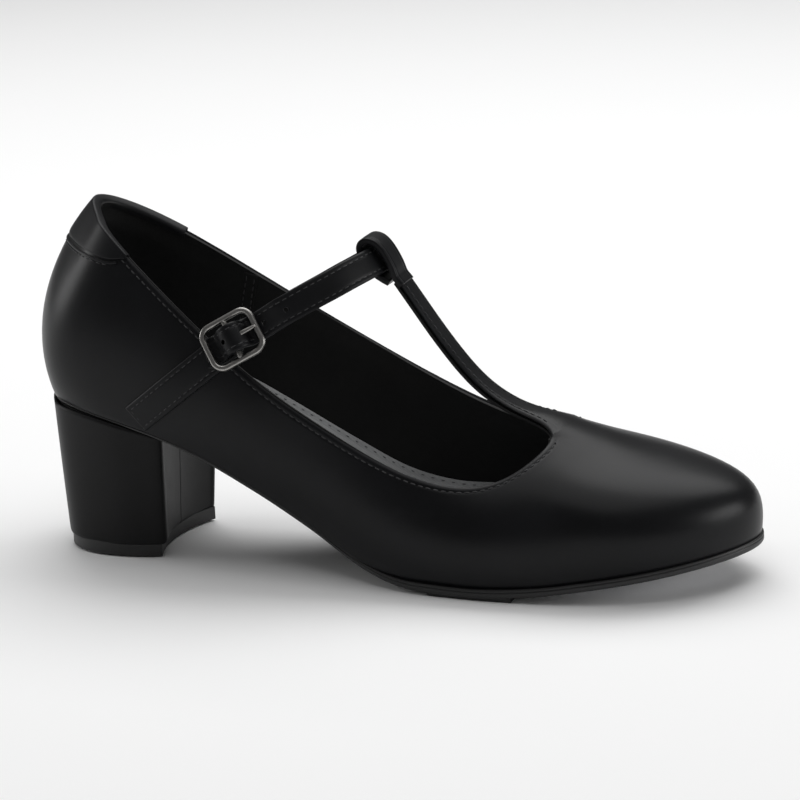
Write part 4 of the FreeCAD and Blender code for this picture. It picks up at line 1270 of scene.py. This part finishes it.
@dataclass
class Straps:
    """Ankle strap, the strap that holds the buckle, and the loop of the T-strap."""

    buckle: Buckle
    width: float = 9.2
    thick: float = 1.6
    tab_width: float = 10.0
    hole_pitch: float = 8.4
    hole_radius: float = 0.75
    seam_inset: float = 1.55
    thread: Thread = Thread(2.5, 1.65, 0.18, 0.05)

    def build(self) -> None:
        """Makes the straps with their holes and stitches."""
        self.ankle = self._ankle()
        self.tab = self._tab()
        self.wraps = self._wraps()
        self.loop = self._loop()
        self.seams = self.thread.sew("strap_stitches", self.ankle_rows)
        self.tab_seams = self.thread.sew("buckle_strap_stitches", self.tab_rows)
        self._punch()

    def _ankle(self) -> bpy.types.Object:
        """The whole ankle strap from its anchor on the inner side to its loose end."""
        anchor, anchor_out = side_strip(1, ANCHOR_FROM, ANCHOR_TO, 24, 0.3 + self.thick / 2)
        inside, inside_out = strap_frames(STRAP_IN, 96)
        outside, outside_out = strap_frames(STRAP_OUT, 84)
        billet = self.buckle.in_line(BILLET, 96)
        billet_out = np.repeat(self.buckle.out[None], len(billet), 0)
        points = np.concatenate([anchor, inside[::-1], outside[1:-4], billet])
        out = np.concatenate([anchor_out, inside_out[::-1], outside_out[1:-4], billet_out])
        points, out = even_frames(points, out, 0.7, 3)
        self.path, self.out = points, out
        self.ankle_rows = self._edge_rows(points, out, self.width)
        return ribbon("ankle_strap", points, out, band_profile(self.width, self.thick))

    def _edge_rows(self, points: np.ndarray, out: np.ndarray,
                   width: float) -> list[tuple[np.ndarray, np.ndarray]]:
        """Sewing lines near both edges of a strap."""
        across, square = path_axes(points, out)
        reach, lift = width / 2 - self.seam_inset, self.thick / 2 + 0.03
        return [(points[2:-2] + (across * s * reach + square * lift)[2:-2], square[2:-2]) for s in (-1, 1)]

    def _tab(self) -> bpy.types.Object:
        """The strap that is sewn to the quarter and carries the buckle."""
        strip, strip_out = side_strip(-1, TAB_FROM, TAB_TO, 30, 0.25 + self.thick / 2)
        chape = self.buckle.in_line(CHAPE, 30)
        points = np.concatenate([strip, chape])
        out = np.concatenate([strip_out, np.repeat(self.buckle.out[None], len(chape), 0)])
        points, out = even_frames(points, out, 0.6, 4)
        rows = self._edge_rows(points, out, self.tab_width)
        (a, n), (b, _) = rows
        cross = np.linspace(a[0], b[0], 8)
        self.tab_rows = [*rows, (cross, np.repeat(n[:1], 8, 0))]
        return ribbon("buckle_strap", points, out, band_profile(self.tab_width, self.thick))

    def _wraps(self) -> bpy.types.Object:
        """The strap's turn round the centre bar, split for the prong."""
        turn = [(1.55 * math.cos(a), 1.55 * math.sin(a)) for a in np.radians(np.linspace(-100, 200, 40))]
        parts = []
        for y in (-3.05, 3.05):
            points = self.buckle.place([(a, y, h) for a, h in turn])
            out = unit(points - self.buckle.place([(0, y, 0)]))
            parts.append(ribbon("wrap_part", points, out, band_profile(3.1, 0.8, 0.9, 0.0, 0.02)))
        return join("buckle_strap_wrap", parts)

    def _loop(self) -> bpy.types.Object:
        """The T-strap's end, folded over the ankle strap and sewn back."""
        angle = math.radians(LOOP_SLOPE)
        along = np.array([math.cos(angle), 0, math.sin(angle)])
        off = np.array([math.sin(angle), 0, -math.cos(angle)])
        centre = np.array([LOOP_CENTRE[0] - HEEL_MID, 0, LOOP_CENTRE[1]])
        outside, inside = smooth_path(LOOP_OUTSIDE, 112), smooth_path(LOOP_INSIDE, 112)
        mid = (outside + inside) / 2
        points = centre + mid[:, :1] * along + mid[:, 1:] * off
        gap = outside - inside
        out = unit(gap[:, :1] * along + gap[:, 1:] * off)
        points, out = even_frames(points, out, 0.5, 2)
        return ribbon("t_strap_fold", points, out, band_profile(10.4, 2.0, 1.7, 0.12, 0.05))

    def _punch(self) -> None:
        """Punches the strap's holes either side of the one the prong is in."""
        along = unit(np.gradient(self.path, axis=0))
        reach = np.concatenate([[0], np.cumsum(np.linalg.norm(np.diff(self.path, axis=0), axis=1))])
        prong = self.buckle.place([(3.4, 0, 0)])[0]
        start = reach[np.argmin(np.linalg.norm(self.path - prong, axis=1))]
        cutters = []
        for step in (-2, -1, 1):
            k = int(np.argmin(np.abs(reach - (start + step * self.hole_pitch))))
            depth = np.linspace(-2.5, 2.5, 4)[:, None]
            points = self.path[k] + self.out[k] * depth
            cutters.append(ribbon("punch", points, np.repeat(along[k][None], 4, 0),
                                  tube_profile(self.hole_radius, 16)))
        cutter = join("punches", cutters)
        cut = self.ankle.modifiers.new("holes", "BOOLEAN")
        cut.operation = "DIFFERENCE"
        cut.solver = "EXACT"
        cut.object = cutter
        apply_modifiers(self.ankle)
        bpy.data.objects.remove(cutter)

    def dress(self) -> None:
        """Finishes, bodies and replaced nodes."""
        settle(self.loop, UPPER_LEATHER, "shoe")
        for piece, finish, body in ((self.tab, STRAP_LEATHER, "shoe"), (self.wraps, STRAP_LEATHER, "shoe"),
                                    (self.tab_seams, THREAD, "shoe"), (self.ankle, STRAP_LEATHER, None),
                                    (self.seams, THREAD, None)):
            settle(piece, finish, body)
        for piece in (self.ankle, self.seams):
            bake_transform(piece)
        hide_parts("t_strap_loop")
        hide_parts("buckle_tab")
        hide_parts("ankle_strap_inner", "ankle_strap_end")


# --------------------------------------------------------------------------- soles
# How far the outsole stands outside the sole joint, and how thick it is, by distance from the heel.
SOLE_EDGE = [(-12, -0.6), (40, -0.9), (70, -1.6), (105, -1.2), (130, 0.8), (160, 1.1), (200, 0.8),
             (252, 0.5)]
SOLE_THICK = [(-12, 1.5), (20, 1.5), (50, 1.5), (75, 2.2), (110, 2.2), (140, 3.1), (190, 3.1), (252, 3.1)]


# Sections as (share of the thickness, inset) for the outsole, (height, offset from the outer face) for
# the sock's turned-up edge, (inset, height) for the cushion and (inset, height, pleat) for the margin.
SOLE_SECTION = ((0, 6.0), (0, 1.8), (0.02, 0.9), (0.10, 0.25), (0.25, 0), (0.55, 0), (0.62, 0.04),
                (0.66, 0.24), (0.70, 0.24), (0.74, 0.04), (0.80, 0), (0.92, 0.06), (1.0, 0.35), (1.0, 6.0))
SOCK_EDGE = ((6.6, -3.6), (8.6, -3.6), (10.2, -3.62), (10.45, -3.9), (10.2, -4.2), (8.6, -4.3),
             (7.7, -4.8), (7.3, -5.9), (7.2, -8.0))
CUSHION_EDGE = ((5.0, 3.5), (4.6, 3.62), (4.4, 4.1), (4.38, 4.9), (4.5, 5.5), (4.9, 5.82), (5.8, 5.9))
MARGIN_SECTION = ((4.0, 0.06, 0), (3.78, 0.3, 0), (3.78, 1.1, 0), (4.0, 1.34, 0), (7.0, 1.34, 0.4),
                  (11.0, 1.32, 1), (12.7, 1.25, 1), (13.0, 0.9, 1), (13.0, 0.4, 0), (12.7, 0.1, 0),
                  (7.0, 0.06, 0))
SOLE_GAP = 0.1
SOCK_LOW, SOCK_HIGH = 6.0, 7.2
CUSHION_LOW, CUSHION_HIGH = 3.5, 5.9


def above_joint(height: float) -> Callable[[np.ndarray], np.ndarray]:
    """Gives the function of distance for a level at a height above the sole joint."""
    return lambda x: joint_height(x) + height


def sole_under(x: np.ndarray | float) -> np.ndarray:
    """Height of the outsole's underside at a distance from the back of the heel."""
    return joint_height(x) - SOLE_GAP - smooth(SOLE_THICK, x)


@dataclass
class Soles:
    """Outsole, sock, cushion and lasting margin, and the finishes of the parts round them."""

    columns: int = 432
    raised: float = 1.8
    thread: Thread = Thread(3.4, 1.3, 0.2, 0.06)

    def build(self) -> None:
        """Makes the soles' meshes."""
        self.u = np.arange(self.columns) * STATIONS / self.columns
        self.outsole = self._outsole()
        self.sock = self._sock()
        self.cushion = self._cushion()
        self.margin = self._margin()
        self.seam = self._seam()

    def _ring(self, inset: np.ndarray | float, gap: float) -> np.ndarray:
        """Outline a distance inside the sole joint and a height above it."""
        return LAST.joint(self.u, inset) + (0, 0, gap)

    def _wall(self, height: float, offset: float) -> np.ndarray:
        """Ring at a height above the joint, measured along the rib and moved off the outer face."""
        shares = np.linspace(0, 0.8, 81)
        ribs = LAST.point(self.u[None], shares[:, None])
        rise = ribs[..., 2] - joint_height(ribs[..., 0] + HEEL_MID)
        inner_side = np.clip(-1.6 * np.sin(self.u * 2 * math.pi / STATIONS), 0, 1)
        level = height + self.raised * inner_side
        r = np.array([np.interp(level[j], rise[:, j], shares) for j in range(len(self.u))])
        return LAST.point(self.u, r) + LAST.normal(self.u, r) * offset

    def _outsole(self) -> bpy.types.Object:
        """Outsole with rounded edges and the fine line cut into its side."""
        foot = LAST.joint(self.u, 0.0)
        edge = -smooth(SOLE_EDGE, foot[:, 0] + HEEL_MID)
        rings = []
        for share, inset in SOLE_SECTION:
            ring = LAST.joint(self.u, edge + inset)
            x = ring[:, 0] + HEEL_MID
            under = sole_under(x)
            ring[:, 2] = under + (joint_height(x) - SOLE_GAP - under) * share
            rings.append(ring)
        return stacked_rings("outsole_rubber", rings, sole_under, above_joint(-SOLE_GAP), 16)

    def _sock(self) -> bpy.types.Object:
        """Sock that lies on the cushion and turns up inside the wall."""
        rings = [self._ring(4.0, SOCK_LOW), *(self._wall(height, offset) for height, offset in SOCK_EDGE)]
        rings[-1][:, 2] = above_joint(SOCK_HIGH)(rings[-1][:, 0] + HEEL_MID)
        return stacked_rings("sock", rings, above_joint(SOCK_LOW), above_joint(SOCK_HIGH), 28)

    def _cushion(self) -> bpy.types.Object:
        """Foam under the sock, its edge slightly rounded by the load."""
        rings = [self._ring(inset, gap) for inset, gap in CUSHION_EDGE]
        return stacked_rings("insole_cushion", rings, above_joint(CUSHION_LOW), above_joint(CUSHION_HIGH), 20)

    def _margin(self) -> bpy.types.Object:
        """Leather pulled under the insole board, pleated at the toe and the heel."""
        bent = (np.clip(1 - np.abs(self.u - TOE) / 2.2, 0, 1)
                + np.clip(1 - np.minimum(self.u, STATIONS - self.u) / 2, 0, 1))
        pleat = bent * (0.5 + 0.5 * np.cos(self.u * 2 * math.pi * 6))
        rings = []
        for inset, gap, share in MARGIN_SECTION:
            ring = self._ring(inset, gap)
            ring[:, 2] -= 0.45 * share * pleat
            rings.append(ring)
        faces = grid_faces(len(rings), self.columns, around=True, looped=True)
        return mesh_piece("lasting_pleats", np.concatenate(rings), faces, closed=True)

    def _seam(self) -> bpy.types.Object:
        """Stitches through the sock's turned-up edge."""
        spot, _ = laid_on(surface_tree(self.sock), self._wall(9.3, -4.35))
        inward = -LAST.normal(self.u, 0.1)
        return self.thread.sew("sock_stitches", [tuple(np.vstack([v, v[:1]]) for v in (spot, inward))])

    def dress(self) -> None:
        """Finishes, bodies, replaced nodes and the finishes of the nodes that are shown as built."""
        for piece, finish, slot_name in ((self.outsole, SOLE_RUBBER, "sole_rubber"),
                                         (self.sock, SOCK_CLOTH, "sock_fabric"),
                                         (self.cushion, FOAM, "foam"),
                                         (self.margin, UPPER_LEATHER, "upper_leather"),
                                         (self.seam, SOCK_THREAD, "sock_fabric")):
            settle(piece, finish, "shoe")
        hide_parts("outsole")
        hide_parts("sock_lining")
        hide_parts("insole_foam")
        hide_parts("lasting_margin")
        shown = {"heel_counter": (STIFFENER, 0.2), "toe_puff": (STIFFENER, 0.2), "insole_board": (BOARD, 0.3),
                 "bottom_filler": (CORK, 0.3), "shank": (STEEL, 0.3), "ball_pad": (SOLE_RUBBER, 0.5),
                 "toe_tap": (TAP_ALLOY, 0.35)}
        shown |= {f"toe_tap_screw_{n}": (STEEL, 0.15) for n in (1, 2, 3)}
        show_nodes(shown)


# --------------------------------------------------------------------------- heel
@dataclass
class Heel:
    """Covered block heel with a hollow breast, its lift, tap and fixings."""

    foot: float = 5.05
    top: float = 57.2
    wrap: float = 0.8
    rows: int = 30
    side_steps: int = 160
    seam_at: float = 0.48
    seam_depth: float = 0.32
    seam_width: float = 0.0052

    def build(self) -> None:
        """Makes the heel's covering."""
        middle = [(0.55 * a[0] + 0.45 * b[0], 0.55 * a[1] + 0.45 * b[1]) for a, b in zip(HEEL_FOOT, HEEL_TOP)]
        self.sections = [self._outline(points) for points in (HEEL_FOOT, middle, HEEL_TOP)]
        self.cover = self._cover()

    def _breast_share(self) -> np.ndarray:
        """Steps across the breast, finer at its seam."""
        fine = self.seam_at + np.linspace(-0.016, 0.016, 15)
        return np.unique(np.concatenate([np.linspace(0, 1, 81)[1:-1], fine]))

    def _outline(self, points: Sequence[tuple[float, float]]) -> np.ndarray:
        """Closed outline of the heel from its sides and the arc of the breast."""
        side = smooth_path([(x - HEEL_MID, y) for x, y in points], self.side_steps)
        first, last = side[0], side[-1]
        mid = (first + last) / 2
        half = np.linalg.norm(first - last) / 2
        radius = (half**2 + BREAST_DEPTH**2) / (2 * BREAST_DEPTH)
        centre = mid + np.array([radius - BREAST_DEPTH, 0])
        spin = [math.atan2(*(p - centre)[::-1]) % (2 * math.pi) for p in (last, first)]
        angle = spin[0] + (spin[1] - spin[0]) * self._breast_share()
        breast = centre + radius * np.stack([np.cos(angle), np.sin(angle)], 1)
        loop = np.concatenate([side, breast])
        for _ in range(5):
            loop = (np.roll(loop, 1, 0) + 2 * loop + np.roll(loop, -1, 0)) / 4
        return loop

    def _at(self, height: np.ndarray) -> np.ndarray:
        """Plan position of every column at its height, along the curve through the sections."""
        low, mid, high = self.foot, (self.foot + self.top) * 0.42, self.top
        h = np.asarray(height)[:, None]
        return (self.sections[0] * (h - mid) * (h - high) / ((low - mid) * (low - high))
                + self.sections[1] * (h - low) * (h - high) / ((mid - low) * (mid - high))
                + self.sections[2] * (h - low) * (h - mid) / ((high - low) * (high - mid)))

    def _cover(self) -> bpy.types.Object:
        """Leather covering with the seam down the middle of the breast."""
        count = len(self.sections[0])
        off_seam = np.full(self.side_steps + 1, 9.0)
        across = np.concatenate([off_seam, self._breast_share() - self.seam_at])
        seam = self.seam_depth * np.exp(-((across / self.seam_width) ** 2))
        rows = []
        steps = np.concatenate([[0, 0.006, 0.014, 0.024], np.linspace(0.06, 1, self.rows)])
        tuck = np.concatenate([[self.seam_depth, 0.1, 0.02, 0], np.zeros(self.rows)])
        for step, fold in zip(steps, tuck):
            height = np.full(count, self.foot + 10.0)
            for _ in range(4):
                seat = sole_under(self._at(height)[:, 0] + HEEL_MID) - 0.05
                height = self.foot + (seat - self.foot) * step
            plan = self._at(height)
            along = unit(np.roll(plan, -1, 0) - np.roll(plan, 1, 0))
            away = np.stack([along[:, 1], -along[:, 0]], 1)
            if np.sum(away * (plan - plan.mean(0))) < 0:
                away = -away
            plan = plan - away * (seam + fold)[:, None]
            rows.append(np.column_stack([plan, height]))
        faces = grid_faces(len(rows), count, around=True)
        piece = mesh_piece("heel_covering", np.concatenate(rows), faces)
        thicken(piece, self.wrap)
        return piece

    def dress(self) -> None:
        """Finishes, bodies and the parts that are shown as built."""
        settle(self.cover, HEEL_LEATHER, "shoe")
        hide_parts("heel_cover")
        shown = {"heel_block": (HEEL_CORE, 0.2), "top_lift": (LIFT_RUBBER, 0.7),
                 "heel_tap": (TAP_ALLOY, 0.35), "heel_screw": (STEEL, 0.3)}
        shown |= {f"heel_tap_screw_{n}": (STEEL, 0.15) for n in (1, 2, 3)}
        shown |= {f"heel_nail_{n}": (STEEL, 0.15) for n in (1, 2, 3, 4)}
        show_nodes(shown)


# --------------------------------------------------------------------------- studio
@dataclass(frozen=True)
class Softbox:
    """A large rectangular light."""

    name: str
    place: Sequence[float]
    width: float
    depth: float
    power: float
    aim: Sequence[float] = (0.09, 0.0, 0.04)

    def build(self) -> None:
        """Adds the light to the scene."""
        lamp = bpy.data.lights.new(self.name, "AREA")
        lamp.shape = "RECTANGLE"
        lamp.size, lamp.size_y = self.width, self.depth
        lamp.energy = self.power
        holder = bpy.data.objects.new(self.name, lamp)
        holder.location = self.place
        holder.rotation_euler = (Vector(self.aim) - Vector(self.place)).to_track_quat("-Z", "Y").to_euler()
        bpy.context.scene.collection.objects.link(holder)


@dataclass
class Studio:
    """Pale floor, soft light and the camera."""

    azimuth: float = 20.5
    elevation: float = 16.5
    roll: float = -2.8
    distance: float = 1.1
    aim: Sequence[float] = (0.084, 0.0, 0.045)
    lens: float = 152.955
    shift: Sequence[float] = (0.0431, 0.0266)
    sky: float = 0.13
    floor_radius: float = 6000.0
    floor_sides: int = 96
    boxes: Sequence[Softbox] = (
        Softbox("back_light", (0.1, 0.75, 1.3), 1.8, 1.0, 17.5),
        Softbox("top_light", (0.0, -0.15, 1.6), 1.8, 1.4, 9.5),
        Softbox("left_light", (-1.4, -0.1, 0.45), 0.7, 0.7, 6.0),
        Softbox("right_light", (1.6, 0.1, 0.4), 0.8, 0.6, 8.5),
    )

    def build(self) -> None:
        """Adds the floor, the lights and the camera."""
        self.floor = self._floor()
        for box in self.boxes:
            box.build()
        self._world()
        self._camera()

    def _floor(self) -> bpy.types.Object:
        """Large flat disc."""
        rim = np.pad(tube_profile(self.floor_radius, self.floor_sides), ((0, 0), (0, 1)))
        return mesh_piece("studio_floor", rim, [list(range(self.floor_sides))])

    def _world(self) -> None:
        """Even pale surroundings."""
        world = bpy.data.worlds.new("surroundings")
        world.use_nodes = True
        bench = Bench(world.node_tree)
        light = bench.node("ShaderNodeBackground", {}, {"Color": (1, 1, 1, 1), "Strength": self.sky})
        out = world.node_tree.nodes.new("ShaderNodeOutputWorld")
        world.node_tree.links.new(light.socket, out.inputs["Surface"])
        bpy.context.scene.world = world
        bpy.context.scene.view_settings.view_transform = "Standard"

    def _camera(self) -> None:
        """Camera at the view the shoe is shown from."""
        a, e, t = (math.radians(v) for v in (self.azimuth, self.elevation, self.roll))
        back = Vector((math.sin(a) * math.cos(e), -math.cos(a) * math.cos(e), math.sin(e)))
        right = Vector((math.cos(a), math.sin(a), 0))
        up = back.cross(right)
        turned = right * math.cos(t) + up * math.sin(t), up * math.cos(t) - right * math.sin(t)
        lens = bpy.data.cameras.new("camera")
        lens.sensor_width = 36
        lens.lens = self.lens
        lens.shift_x, lens.shift_y = self.shift
        lens.clip_start, lens.clip_end = 0.05, 50
        camera = bpy.data.objects.new("camera", lens)
        camera.matrix_world = (Matrix.Translation(Vector(self.aim) + back * self.distance)
                               @ Matrix((turned[0], turned[1], back)).transposed().to_4x4())
        bpy.context.scene.collection.objects.link(camera)
        bpy.context.scene.camera = camera

    def dress(self) -> None:
        """Finish of the floor, which isn't part of the shoe."""
        FLOOR.dress(self.floor)


def main() -> None:
    """Builds and dresses every part of the shoe, then the studio."""
    logging.basicConfig(level=logging.INFO, format="%(name)s %(message)s")
    buckle = Buckle()
    for part in (Upper(), Soles(), Heel(), buckle, Straps(buckle), Studio()):
        LOG.info("building %s", type(part).__name__)
        part.build()
        part.dress()


if __name__ == "__main__":
    main()
